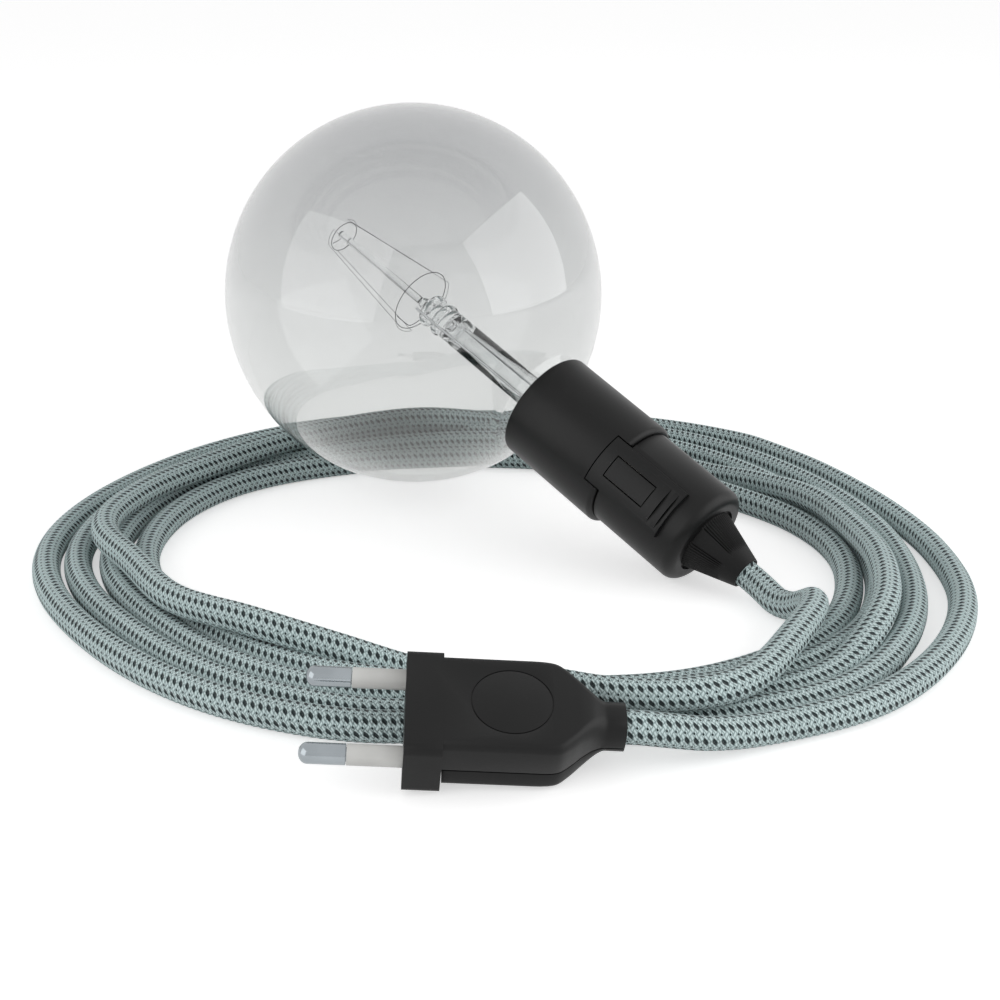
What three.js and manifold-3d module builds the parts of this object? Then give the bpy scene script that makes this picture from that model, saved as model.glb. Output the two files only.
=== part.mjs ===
// Pendant cord set: globe bulb in a small Edison screw holder, a coiled fabric cord and a flat two-pin plug.
// Millimetres, +Z up. +X is right and +Y away in the usual view. The part stands on z = 0.
import * as THREE from 'three';
import { mergeVertices } from 'three/addons/utils/BufferGeometryUtils.js';
import Module from 'manifold-3d';

const wasm = await Module();
wasm.setup();

// Clearances
const GAP = 0.3; // between pieces that touch
const PART_LINE = 0.3; // open line between two moulded halves

// Bulb. Its own axis runs from the globe's centre towards the cord.
const GLOBE_RADIUS = 50;
const GLASS = 0.9;
const NECK_RADIUS = 11.6;
const NECK_START = 53;
const NECK_TAPER = 57;
const NECK_END = 64;
const NECK_TIP_RADIUS = 6;
const CAP_START = 62.2;
const CAP_LENGTH = 14;
const CAP_WALL = 0.35;
const CAP_THREAD_DEPTH = 0.45;
const THREAD_PITCH = 2.82;
const CAP_THREADS = 4;
const CAP_BEAD = 1.6;
const CAP_BUTTON = 1.2;
const STEM_RADIUS = 4.1;
const STEM_WALL = 0.7;
const STEM_TIP = 12;
const COLLAR_RADIUS = 4.6;
const ROD_RADIUS = 1;
const SMALL_HOOP_RADIUS = 4.4;
const SMALL_HOOP_PLACE = -29.5;
const BIG_HOOP_RADIUS = 8.8;
const BIG_HOOP_PLACE = 2.5;
const HOOP_WIRE = 0.18;
const HOOP_ARM_TURN = 55; // degrees
const FILAMENT_WIRE = 0.12;
const FILAMENT_RUNS = 6;
const HAIRPIN_ROUND = 0.08;
const LEAD_WIRE = 0.35;
const LEAD_WIRE_LINE = [[5.4, 6], [5.6, 14], [5, 30], [4.8, 48]]; // [distance from the axis, place]

// Lamp holder
const SKIRT_RADIUS = 14.3;
const SKIRT_WALL = 1.7;
const SKIRT_START = 50.8;
const SKIRT_LENGTH = 30.2;
const SKIRT_ROUND = 1.4;
const SHELL_RADIUS = 13;
const SHELL_WALL = 1.8;
const SHELL_LENGTH = 25.1; // behind the skirt
const SHELL_CORNER = 2.8;
const SHELL_END_WALL = 2.4;
const END_RECESS = { radius: 9.2, depth: 0.9 };
const SPIGOT_LENGTH = 9;
const SPIGOT_WALL = 1.1;
const LATCH_PAD = { width: 12.7, length: 22.8, lap: 3.8 }; // lap: how far it reaches into the skirt's end
const LATCH_TONGUE = { width: 6.1, length: 12.5, inset: 3.5 }; // inset: from the pad's start
const LATCH_SLOT = 0.3;
const LATCH_NOTCHES = [[3.6, 1.2], [1.2, 0.6]]; // [distance from the pad's end, width]
const INSERT_INSET = 9.7; // from the skirt's open end
const INSERT_FLANGE = 10.5;
const INSERT_REACH = 5.2; // into the shell
const SOCKET_WALL = 0.4;
const SOCKET_THREAD_DEPTH = 0.27;
const SOCKET_INSET = 1.5; // from the core's open end
const TERMINAL_LENGTH = 6;
const TERMINAL_SIZE = 4.6;
const TERMINAL_OFFSET = 5.6;
const TERMINAL_SCREW_RADIUS = 1.3;
const TERMINAL_SCREW_PLACE = 3; // from the terminal's closed end
const GRIP_LENGTH = 3.4;
const GRIP_SCREW_RADIUS = 0.9;
const GRIP_SCREW_OFFSET = 6;

// Strain relief on the holder
const BOOT_BASE_RADIUS = 7.5;
const BOOT_TIP_RADIUS = 4.1;
const BOOT_LENGTH = 13.2;
const BOOT_STEM_RADIUS = 4.9;
const BOOT_FLANGE = 2;
const BOOT_RIBS = 11; // on each side
const BOOT_RIB_STEP = 13; // degrees
const BOOT_RIB_CUT = 0.45;
const BOOT_RIB_LENGTH = 9.4;

// Cord
const CORD_DIAMETER = 6.7;
const SHEATH_RADIUS = 2.6; // under the braid
const CORE_RADIUS = 1.05;
const CORD_SIDES = 10;
const STRAIGHT = 3; // of cord in line with the strain relief or plug that it leaves

// Plug. Its own x runs from the pin face to the cord, y across it, z out of its marked face.
const PIN_LENGTH = 19;
const PIN_RADIUS = 2;
const PIN_SPACING = 18.6;
const PIN_CORE_RADIUS = 1.3;
const SLEEVE_LENGTH = 10.2;
const SLEEVE_WALL = 0.35;
const FLANGE = { width: 24.8, height: 12.6, depth: 7, corner: 1.8 };
const BODY = { width: 22.2, height: 11.6, shoulder: 26, neck: 37.2, edge: 1.5 };
const NECK = { width: 8.8, height: 8.4, corner: 3.6 };
// How the body narrows to the neck: [share of the way, share of the narrowing still to come]
const SHOULDER_LINE = [
  [0, 1], [0.12, 0.99], [0.23, 0.94], [0.44, 0.67], [0.64, 0.36], [0.8, 0.12], [0.93, 0.03], [1, 0],
];
const PLUG_LENGTH = 41.2;
const PLUG_WALL = 1.7;
const SEAM = 0.6; // share of the body's thickness above the seam
const RING_GROOVE = { x: 19.7, radius: 7.6, width: 0.6, depth: 0.35 };
const PLUG_TERMINAL = { start: 5.4, length: 7, size: 4, inset: 1.6, screw: 4 };
const PLUG_SIDE_WALL = 1.1;
const CLAMP = { x: 25, length: 3.4, width: 13.4, height: 1.2 };
const CLAMP_SCREW_OFFSET = 5;
const HOUSING_SCREW = { x: 16.6, head: 2.4, shank: 1.3 };

// Where things lie, in the part's frame
const GLOBE_CENTRE = new THREE.Vector3(-17.25, 13.16, 55);
const LAMP_AZIMUTH = -41.85; // degrees, of the lamp's axis
const LAMP_DIP = 24.47; // degrees that the axis falls towards the cord
const LATCH_TURN = 238.2; // degrees about that axis
const PLUG_PLACE = new THREE.Vector3(-12.21, -139, 11.5);
const PLUG_YAW = 2.51;
const PLUG_PITCH = 4.2;
const PLUG_ROLL = 20.8;

// The coil lies round this point. Each turn starts at the front and runs clockwise, seen from above:
// [degrees round from the front, distance of the cord's centre, height of the cord's centre].
const COIL_CENTRE = new THREE.Vector2(5.6, -40.5);
const LIE = 3.4; // height of the cord's centre where it lies on the floor
const COIL_TURNS = [
  [
    [-53, 84, 10.8], [-48, 85.8, 10.9], [-43, 88, 10.8], [-37, 91.3, 10.4], [-32, 93.9, 10.1],
    [-27, 95, 10.1], [-20, 92.8, 10.1], [-15, 89.8, 10.1], [-10, 85.4, 10], [-4, 80.4, 9.9],
    [2, 77.8, 8.8], [8, 77.6, 6.2], [16, 79.2, LIE], [30, 81.6, LIE],
    [60, 86, LIE], [90, 95, LIE], [120, 95.5, LIE], [150, 86.5, LIE], [180, 83, LIE],
    [210, 81, LIE], [225, 80, LIE], [240, 81, 6.2], [255, 84, 8.9], [270, 87, 9.4],
    [285, 91.5, 10.1], [300, 95.4, 8.7], [315, 94.8, LIE], [330, 89, LIE], [345, 84, LIE],
  ],
  [
    [0, 81.6, LIE], [8, 83.6, LIE], [16, 86, LIE], [30, 88.3, LIE], [60, 93, LIE],
    [90, 103.5, LIE], [120, 103.5, LIE], [150, 97, LIE], [180, 92.5, LIE], [210, 91.5, LIE],
    [240, 88, LIE], [270, 90.2, LIE], [285, 91.4, LIE], [300, 91.6, LIE], [315, 88.4, LIE],
    [330, 82.9, LIE], [340, 79, LIE], [350, 75.4, LIE],
  ],
  [
    [0, 72, LIE], [15, 72.4, LIE], [30, 74.9, LIE], [60, 79.4, LIE], [90, 87, LIE],
    [120, 87.5, LIE], [150, 76.8, LIE], [165, 72.4, LIE], [180, 70.5, LIE], [210, 70.5, LIE],
    [240, 73.5, LIE], [255, 79, LIE], [270, 83, LIE], [285, 84.5, LIE], [300, 85, LIE],
    [308, 84.4, LIE], [315, 82, LIE], [330, 76.8, LIE], [345, 70.8, LIE],
  ],
  [
    [0, 65.2, LIE], [15, 65.7, LIE], [30, 69.4, 7], [45, 75.8, 10.1], [60, 83, 9.8],
    [75, 87.5, 10], [90, 97, 10.2], [105, 95.5, 10.2], [120, 91.5, 9.8], [135, 90, 10.1],
    [150, 91.5, 9.7], [165, 96, 10.2], [180, 100, 5], [195, 100, LIE], [210, 99.6, LIE],
    [240, 97.2, LIE], [270, 97.4, LIE], [300, 100.5, LIE], [315, 101, LIE], [330, 95.2, LIE],
    [345, 90, LIE],
  ],
  [
    [-8, 87.6, LIE], [0, 87.2, LIE], [8, 88.3, LIE], [17, 91.2, LIE], [30, 94, LIE],
    [60, 100.5, LIE], [90, 111, LIE], [120, 111, LIE], [150, 111, LIE], [180, 109, LIE],
    [210, 107.5, LIE], [225, 109, LIE],
  ],
];

// The free stretches: from the strain relief to the coil, and from the coil to the plug
const LAMP_LEAD = [
  [67.4, -65.2, 3.8], [69.2, -70.2, 3.5], [71.8, -75.2, 4.7], [73.6, -79.6, 7.4], [74.2, -84.3, 10],
];
const PLUG_LEAD = [
  [84.4, 32.7, 3.4], [95.4, 15.6, 3.4], [107.4, -13.3, 3.4], [113.1, -40.5, 3.4], [111.9, -69, 3.4],
  [100.9, -95.5, 3.4], [82, -116.9, 3.4], [57.3, -129.4, 3.8], [45.5, -134.6, 5.6], [37.5, -136.3, 7.2],
];

// Materials: colour, roughness, metalness
const GLASS_CLEAR = [0xdfe6ea, 0.05, 0];
const BLACK_PLASTIC = [0x2a2a29, 0.45, 0];
const DARK_RUBBER = [0x222222, 0.7, 0];
const CERAMIC = [0xe8e4da, 0.35, 0];
const NICKEL = [0xc4c6c8, 0.25, 1];
const BRASS = [0xc9a45a, 0.3, 1];
const STEEL = [0x9a9da0, 0.35, 1];
const BLACK_GLASS = [0x101014, 0.1, 0];
const SLEEVE_PLASTIC = [0xc9c8c4, 0.35, 0];
const CORD_FABRIC = [0xb2c9c6, 0.85, 0];
const SHEATH_PVC = [0xe6e6e2, 0.5, 0];
const LIVE_PVC = [0x6b3f24, 0.5, 0];
const NEUTRAL_PVC = [0x2f5f9e, 0.5, 0];

const group = new THREE.Group();

function addPiece(name, geometry, [color, roughness, metalness]) {
  const material = new THREE.MeshStandardMaterial({ color, roughness, metalness });
  const mesh = new THREE.Mesh(geometry, material);
  mesh.name = name;
  group.add(mesh);
}

// Joining and cutting

function toManifold(geometry) {
  const bare = geometry.clone();
  bare.deleteAttribute('normal');
  bare.deleteAttribute('uv');
  const merged = mergeVertices(bare, 1e-4);
  const triangles = [];
  const index = merged.index.array;
  for (let i = 0; i < index.length; i += 3) {
    const [a, b, c] = [index[i], index[i + 1], index[i + 2]];
    if (a !== b && b !== c && c !== a) triangles.push(a, b, c);
  }
  return new wasm.Manifold(new wasm.Mesh({
    numProp: 3,
    vertProperties: new Float32Array(merged.attributes.position.array),
    triVerts: new Uint32Array(triangles),
  }));
}

function toGeometry(manifold) {
  const mesh = manifold.getMesh();
  const geometry = new THREE.BufferGeometry();
  geometry.setAttribute('position', new THREE.BufferAttribute(new Float32Array(mesh.vertProperties), 3));
  geometry.setIndex(new THREE.BufferAttribute(new Uint32Array(mesh.triVerts), 1));
  geometry.computeVertexNormals();
  return geometry;
}

function join(...geometries) {
  return toGeometry(wasm.Manifold.union(geometries.map(toManifold)));
}

function cut(geometry, ...tools) {
  return toGeometry(toManifold(geometry).subtract(wasm.Manifold.union(tools.map(toManifold))));
}

function common(a, b) {
  return toGeometry(toManifold(a).intersect(toManifold(b)));
}

// Basic solids

// Turns an outline of [radius, z] round the z axis. The outline runs clockwise, from axis to axis or closed.
function revolve(outline, segments = 32) {
  const area = outline.reduce((sum, [r, z], i) => {
    const [nextR, nextZ] = outline[(i + 1) % outline.length];
    return sum + r * nextZ - nextR * z;
  }, 0);
  const ordered = area > 0 ? outline : [...outline].reverse();
  const onAxis = ordered.some(([r]) => r === 0);
  const before = (i) => ordered[(i + ordered.length - 1) % ordered.length];
  const start = ordered.findIndex(([r], i) => r === 0 && before(i)[0] === 0);
  const turned = onAxis ? [...ordered.slice(start), ...ordered.slice(0, start)] : [...ordered, ordered[0]];
  const points = turned.map(([r, z]) => new THREE.Vector2(r, z));
  return new THREE.LatheGeometry(points, segments).rotateX(Math.PI / 2);
}

function cylinder(radius, start, end, segments = 24) {
  return revolve([[0, start], [radius, start], [radius, end], [0, end]], segments);
}

function tube(outer, inner, start, end, segments = 32) {
  return revolve([[inner, start], [outer, start], [outer, end], [inner, end]], segments);
}

function box(xRange, yRange, zRange) {
  const size = [xRange, yRange, zRange].map(([low, high]) => high - low);
  const middle = [xRange, yRange, zRange].map(([low, high]) => (low + high) / 2);
  return new THREE.BoxGeometry(...size).translate(...middle);
}

function arc(radius, fromDegrees, toDegrees, steps, centre = [0, 0]) {
  return Array.from({ length: steps + 1 }, (_, i) => {
    const angle = degrees(fromDegrees + ((toDegrees - fromDegrees) * i) / steps);
    return [centre[0] + radius * Math.cos(angle), centre[1] + radius * Math.sin(angle)];
  });
}

function circleShape(radius, sides) {
  const points = arc(radius, 0, 360, sides).slice(0, -1).map(([x, y]) => new THREE.Vector2(x, y));
  return new THREE.Shape(points);
}

function sweep(curve, radius, sides, steps) {
  return new THREE.ExtrudeGeometry(circleShape(radius, sides), { extrudePath: curve, steps });
}

function wire(points, radius, sides, steps) {
  const curve = new THREE.CatmullRomCurve3(points.map((p) => new THREE.Vector3(...p)));
  return sweep(curve, radius, sides, steps);
}

function roundedRectangle(width, height, corner) {
  const [x, y] = [width / 2 - corner, height / 2 - corner];
  const points = [
    ...arc(corner, 0, 90, 5, [x, y]), ...arc(corner, 90, 180, 5, [-x, y]),
    ...arc(corner, 180, 270, 5, [-x, -y]), ...arc(corner, 270, 360, 5, [x, -y]),
  ];
  return new THREE.Shape(points.map(([u, v]) => new THREE.Vector2(u, v)));
}

function plate(shape, depth) {
  return new THREE.ExtrudeGeometry(shape, { depth, bevelEnabled: false });
}

// Lies a plate that was drawn in y and z along the x axis, from the given x.
function alongX(geometry, x) {
  return geometry.rotateX(Math.PI / 2).rotateZ(Math.PI / 2).translate(x, 0, 0);
}

function degrees(angle) {
  return THREE.MathUtils.degToRad(angle);
}

// Places

function lampMatrix() {
  return new THREE.Matrix4().makeTranslation(GLOBE_CENTRE)
    .multiply(new THREE.Matrix4().makeRotationZ(degrees(LAMP_AZIMUTH)))
    .multiply(new THREE.Matrix4().makeRotationY(degrees(90 + LAMP_DIP)))
    .multiply(new THREE.Matrix4().makeRotationZ(degrees(LATCH_TURN)));
}

function plugMatrix() {
  return new THREE.Matrix4().makeTranslation(PLUG_PLACE)
    .multiply(new THREE.Matrix4().makeRotationZ(degrees(PLUG_YAW)))
    .multiply(new THREE.Matrix4().makeRotationY(degrees(PLUG_PITCH)))
    .multiply(new THREE.Matrix4().makeRotationX(degrees(PLUG_ROLL)));
}

const lampPlace = lampMatrix();
const plugPlace = plugMatrix();

function addToLamp(name, geometry, material) {
  addPiece(name, geometry.applyMatrix4(lampPlace), material);
}

function addToPlug(name, geometry, material) {
  addPiece(name, geometry.applyMatrix4(plugPlace), material);
}

// Bulb

const FILLET_ANGLE = 70; // where the globe's round gives way to the neck, degrees from its equator

function globeOutline(inset, steps) {
  const round = arc(GLOBE_RADIUS - inset, -90, FILLET_ANGLE, steps);
  round[0][0] = 0;
  const neck = NECK_RADIUS - inset;
  const tip = NECK_TIP_RADIUS - inset;
  return [...round, [neck + 1.4, NECK_START - 3.2], [neck + 0.3, NECK_START - 1.4], [neck, NECK_START],
    [neck, NECK_TAPER], [(neck + tip) / 2 + 0.6, NECK_TAPER + 2.4], [tip, NECK_END - 2.4], [tip, NECK_END]];
}

function globe() {
  return revolve([...globeOutline(0, 18), ...globeOutline(GLASS, 14).reverse()], 36);
}

function stem() {
  const bore = STEM_RADIUS - STEM_WALL;
  const bell = NECK_TIP_RADIUS - GLASS - GAP;
  return revolve([
    [0, STEM_TIP - 9], [1.6, STEM_TIP - 8.2], [1.6, STEM_TIP - 6], [COLLAR_RADIUS, STEM_TIP - 5.2],
    [COLLAR_RADIUS, STEM_TIP - 3.6], [3, STEM_TIP - 3], [3, STEM_TIP - 1.6], [COLLAR_RADIUS, STEM_TIP - 0.8],
    [COLLAR_RADIUS, STEM_TIP + 0.8], [STEM_RADIUS, STEM_TIP + 2], [STEM_RADIUS, 50], [bell, 58],
    [bell, NECK_END - 0.5], [bell - STEM_WALL, NECK_END - 0.5], [bell - STEM_WALL, 58.4], [bore, 50],
    [bore, STEM_TIP + 3], [0, STEM_TIP + 2],
  ], 20);
}

function hoop(radius, place) {
  const wireOutline = arc(HOOP_WIRE, 0, 360, 6, [radius, place]).slice(0, -1);
  return revolve(wireOutline, 28);
}

// Up and down between the two hoops, one hairpin after the other
function filament() {
  const clear = HOOP_WIRE + FILAMENT_WIRE + GAP;
  const points = [];
  const pitch = degrees(360 / FILAMENT_RUNS);
  const low = [BIG_HOOP_RADIUS + clear, BIG_HOOP_PLACE + clear];
  const high = [SMALL_HOOP_RADIUS + clear, SMALL_HOOP_PLACE - clear];
  for (let i = 0; i < FILAMENT_RUNS; i++) {
    const [from, to] = i % 2 === 0 ? [low, high] : [high, low];
    for (const [[r, z], turn] of [[from, 0], [to, 0], [to, 0.5]]) {
      const angle = pitch * (i + turn);
      points.push([r * Math.cos(angle), r * Math.sin(angle), z]);
    }
  }
  points.pop();
  const places = points.map((p) => new THREE.Vector3(...p));
  const curve = new THREE.CatmullRomCurve3(places, false, 'catmullrom', HAIRPIN_ROUND);
  return sweep(curve, FILAMENT_WIRE, 5, points.length * 4);
}

// The wire that holds the small hoop on the rod
function smallHoopArm() {
  const [from, to] = [ROD_RADIUS + GAP, SMALL_HOOP_RADIUS - 2 * HOOP_WIRE - GAP];
  const middle = (from + to) / 2;
  return wire([
    [from, 0, SMALL_HOOP_PLACE], [middle, 0, SMALL_HOOP_PLACE + HOOP_WIRE], [to, 0, SMALL_HOOP_PLACE],
  ], HOOP_WIRE, 6, 4).rotateZ(degrees(HOOP_ARM_TURN));
}

// The wire that holds the large hoop: out from the stem's collar, then along to the hoop
function bigHoopArm() {
  const start = STEM_TIP - 4.4;
  const [from, to] = [COLLAR_RADIUS + GAP, BIG_HOOP_RADIUS - 2 * HOOP_WIRE - GAP];
  return wire([
    [from, 0, start], [to - 1, 0, start], [to, 0, start - 1], [to, 0, BIG_HOOP_PLACE],
  ], HOOP_WIRE, 6, 12).rotateZ(degrees(HOOP_ARM_TURN));
}

function leadWire(side) {
  const angle = degrees(side > 0 ? 200 : 20);
  const points = LEAD_WIRE_LINE.map(([r, z]) => [r * Math.cos(angle), r * Math.sin(angle), z]);
  return wire(points, LEAD_WIRE, 6, 12);
}

// A wave of screw thread between two places, as [radius, z]
function threadWave(crest, depth, start, turns) {
  const points = [];
  for (let i = 0; i <= turns * 4; i++) {
    const radius = crest - (depth * (1 - Math.cos((i * Math.PI) / 2))) / 2;
    points.push([radius, start + (THREAD_PITCH * i) / 4]);
  }
  return points;
}

const CAP_RADIUS = NECK_TIP_RADIUS + GAP + CAP_WALL + CAP_THREAD_DEPTH / 2;
const CAP_RIM_RADIUS = CAP_RADIUS + 0.2;
const CAP_TOP_RADIUS = CAP_RADIUS - 1.6;
const CAP_END = CAP_START + CAP_LENGTH;

function capShell() {
  const outer = threadWave(CAP_RADIUS, CAP_THREAD_DEPTH, CAP_START + 1.8, CAP_THREADS);
  const inner = outer.map(([r, z]) => [r - CAP_WALL, z]).reverse();
  return revolve([
    [CAP_RIM_RADIUS, CAP_START], ...outer, [CAP_TOP_RADIUS, CAP_END],
    [CAP_TOP_RADIUS - CAP_WALL, CAP_END], ...inner, [CAP_RIM_RADIUS - CAP_WALL, CAP_START],
  ], 20);
}

function capBead() {
  const [start, end] = [CAP_END + GAP, CAP_END + CAP_BEAD];
  return revolve([[0, start], [CAP_TOP_RADIUS, start], [2.6, end], [0, end]], 24);
}

function capButton() {
  const start = CAP_END + CAP_BEAD + GAP;
  return revolve([[0, start], [2.4, start], [1.8, start + CAP_BUTTON * 0.7], [0, start + CAP_BUTTON]], 20);
}

function buildBulb() {
  addToLamp('bulb_globe', globe(), GLASS_CLEAR);
  addToLamp('bulb_stem', stem(), GLASS_CLEAR);
  addToLamp('bulb_rod', cylinder(ROD_RADIUS, SMALL_HOOP_PLACE - 1.5, STEM_TIP - 9 - GAP, 12), GLASS_CLEAR);
  addToLamp('small_hoop', hoop(SMALL_HOOP_RADIUS, SMALL_HOOP_PLACE), STEEL);
  addToLamp('big_hoop', hoop(BIG_HOOP_RADIUS, BIG_HOOP_PLACE), STEEL);
  addToLamp('small_hoop_arm', smallHoopArm(), STEEL);
  addToLamp('big_hoop_arm', bigHoopArm(), STEEL);
  addToLamp('filament', filament(), STEEL);
  addToLamp('lead_wire_1', leadWire(1), STEEL);
  addToLamp('lead_wire_2', leadWire(-1), STEEL);
  addToLamp('bulb_cap_shell', capShell(), NICKEL);
  addToLamp('bulb_cap_bead', capBead(), BLACK_GLASS);
  addToLamp('bulb_cap_button', capButton(), NICKEL);
}

// Lamp holder

const SKIRT_BORE = SKIRT_RADIUS - SKIRT_WALL;
const SKIRT_END = SKIRT_START + SKIRT_LENGTH;
const SPIGOT_RADIUS = SKIRT_BORE - GAP;
const SHELL_START = SKIRT_END + GAP;
const SHELL_END = SHELL_START + SHELL_LENGTH;
const SHELL_BORE = SHELL_RADIUS - SHELL_WALL;
const SHELL_FLOOR = SHELL_END - SHELL_END_WALL;
const LATCH_PAD_START = SKIRT_END - LATCH_PAD.lap;
const LATCH_PAD_END = LATCH_PAD_START + LATCH_PAD.length;
const INSERT_START = SKIRT_START + INSERT_INSET;
const INSERT_END = SHELL_START + INSERT_REACH;
const SOCKET_START = INSERT_START + SOCKET_INSET;
const SOCKET_END = CAP_END + 0.8;
const INSERT_FLOOR = SOCKET_END + 4.6;
const RIVET_BORE = 1.4;
const SOCKET_RADIUS = CAP_RIM_RADIUS + GAP + SOCKET_THREAD_DEPTH + SOCKET_WALL;

// The skirt's end is rounded and has a notch for the latch pad.
function holderSkirt() {
  const round = arc(SKIRT_ROUND, 0, 80, 4, [SKIRT_RADIUS - SKIRT_ROUND, SKIRT_END - SKIRT_ROUND]);
  const body = revolve([
    [SKIRT_BORE, SKIRT_START], [SKIRT_RADIUS - 0.5, SKIRT_START], [SKIRT_RADIUS, SKIRT_START + 0.5],
    ...round, [SKIRT_BORE, SKIRT_END],
  ], 48);
  const half = LATCH_PAD.width / 2 + GAP;
  return cut(body, box([0, SKIRT_RADIUS + 1], [-half, half], [LATCH_PAD_START - GAP, SKIRT_END + 1]));
}

function latchPad() {
  const half = LATCH_PAD.width / 2;
  const disc = tube(SKIRT_RADIUS, SPIGOT_RADIUS - SPIGOT_WALL / 2, LATCH_PAD_START, LATCH_PAD_END, 48);
  return common(disc, box([0, SKIRT_RADIUS + 1], [-half, half], [LATCH_PAD_START, LATCH_PAD_END]));
}

// The slot round three sides of the latch tongue, the line on its fourth, and the notches behind it
function latchCuts() {
  const half = LATCH_TONGUE.width / 2;
  const start = LATCH_PAD_START + LATCH_TONGUE.inset;
  const end = start + LATCH_TONGUE.length;
  const depth = [SHELL_BORE - 1, SKIRT_RADIUS + 1];
  const lineDepth = [SKIRT_RADIUS - 0.5, SKIRT_RADIUS + 1];
  const notchDepth = [SHELL_RADIUS + 0.4, SKIRT_RADIUS + 1];
  const padHalf = LATCH_PAD.width / 2 + 1;
  return [
    box(depth, [-half, -half + LATCH_SLOT], [start, end]),
    box(depth, [half - LATCH_SLOT, half], [start, end]),
    box(depth, [-half, half], [start, start + LATCH_SLOT]),
    box(lineDepth, [-half, half], [end, end + LATCH_SLOT]),
    ...LATCH_NOTCHES.map(([place, width]) => {
      const z = LATCH_PAD_END - place;
      return box(notchDepth, [-padHalf, padHalf], [z, z + width]);
    }),
  ];
}

function holderShell() {
  const shoulder = arc(SHELL_CORNER, 0, 90, 5, [SHELL_RADIUS - SHELL_CORNER, SHELL_END - SHELL_CORNER]);
  const spigotStart = SHELL_START - SPIGOT_LENGTH;
  const recessFloor = SHELL_END - END_RECESS.depth;
  const body = revolve([
    [SPIGOT_RADIUS - SPIGOT_WALL, spigotStart], [SPIGOT_RADIUS, spigotStart],
    [SPIGOT_RADIUS, SHELL_START], [SHELL_RADIUS, SHELL_START], ...shoulder,
    [END_RECESS.radius, SHELL_END], [END_RECESS.radius, recessFloor],
    [BOOT_STEM_RADIUS + GAP, recessFloor], [BOOT_STEM_RADIUS + GAP, SHELL_FLOOR],
    [SHELL_BORE - 1, SHELL_FLOOR], [SHELL_BORE, SHELL_FLOOR - 1],
  ], 48);
  return cut(join(body, latchPad()), ...latchCuts());
}

// The moulded core that carries the socket
function holderInsert() {
  const flange = SKIRT_BORE - 0.4;
  const body = SPIGOT_RADIUS - SPIGOT_WALL - GAP;
  const bore = SOCKET_RADIUS + GAP;
  return revolve([
    [bore, INSERT_START], [flange, INSERT_START], [flange, INSERT_START + INSERT_FLANGE],
    [body, INSERT_START + INSERT_FLANGE + 0.6], [body, INSERT_END], [RIVET_BORE, INSERT_END],
    [RIVET_BORE, INSERT_FLOOR], [bore, INSERT_FLOOR],
  ], 40);
}

function socketShell() {
  const turns = 5;
  const outer = threadWave(SOCKET_RADIUS, SOCKET_THREAD_DEPTH, SOCKET_START + 0.4, turns);
  const inner = outer.map(([r, z]) => [r - SOCKET_WALL, z]).reverse();
  const end = [[SOCKET_RADIUS, SOCKET_END], [SOCKET_RADIUS - SOCKET_WALL, SOCKET_END]];
  return revolve([...outer, ...end, ...inner], 20);
}

const BUTTON_END = CAP_END + CAP_BEAD + GAP + CAP_BUTTON;

// A spring strip under the bulb's button, on a rivet through the core's floor
function centreContact() {
  const strip = box([-1.5, 5], [-1.5, 1.5], [BUTTON_END + GAP, BUTTON_END + GAP + 0.5]);
  const post = box([4.2, 5], [-1.5, 1.5], [BUTTON_END + GAP, INSERT_FLOOR - GAP]);
  const foot = box([-1, 5], [-1.5, 1.5], [INSERT_FLOOR - GAP - 0.5, INSERT_FLOOR - GAP]);
  const rivet = cylinder(RIVET_BORE - GAP, INSERT_FLOOR - GAP - 0.5, INSERT_END + 0.1, 12);
  return join(strip, post, foot, rivet);
}

function terminalBlock(side) {
  const half = TERMINAL_SIZE / 2;
  const y = side * TERMINAL_OFFSET;
  const start = INSERT_END + GAP;
  const block = box([-half, half], [y - half, y + half], [start, start + TERMINAL_LENGTH]);
  const wireHole = cylinder(CORE_RADIUS + GAP, start + 2, start + TERMINAL_LENGTH + 1, 12).translate(0, y, 0);
  const screwHole = cylinder(TERMINAL_SCREW_RADIUS + 0.2, 0, half + 1, 12)
    .rotateY(Math.PI / 2).translate(0, y, start + TERMINAL_SCREW_PLACE);
  return cut(block, wireHole, screwHole);
}

function terminalScrew(side) {
  const half = TERMINAL_SIZE / 2;
  const bottom = CORE_RADIUS + GAP;
  const screw = revolve([
    [0, bottom], [TERMINAL_SCREW_RADIUS, bottom], [TERMINAL_SCREW_RADIUS, half + GAP], [2, half + GAP],
    [2, half + 1.5], [0, half + 1.5],
  ], 16);
  const slot = box([-0.3, 0.3], [-3, 3], [half + 0.9, half + 2]);
  const z = INSERT_END + GAP + TERMINAL_SCREW_PLACE;
  return cut(screw, slot).rotateY(Math.PI / 2).translate(0, side * TERMINAL_OFFSET, z);
}

// Where the cord's parts end inside the holder
const BOOT_START = SHELL_END - END_RECESS.depth + GAP;
const BOOT_END = BOOT_START + BOOT_LENGTH;
const BOOT_FLANGE_START = SHELL_FLOOR - GAP - BOOT_FLANGE;
const GRIP_START = BOOT_FLANGE_START - GAP - GRIP_LENGTH;
const TERMINAL_END = INSERT_END + GAP + TERMINAL_LENGTH;

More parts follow.
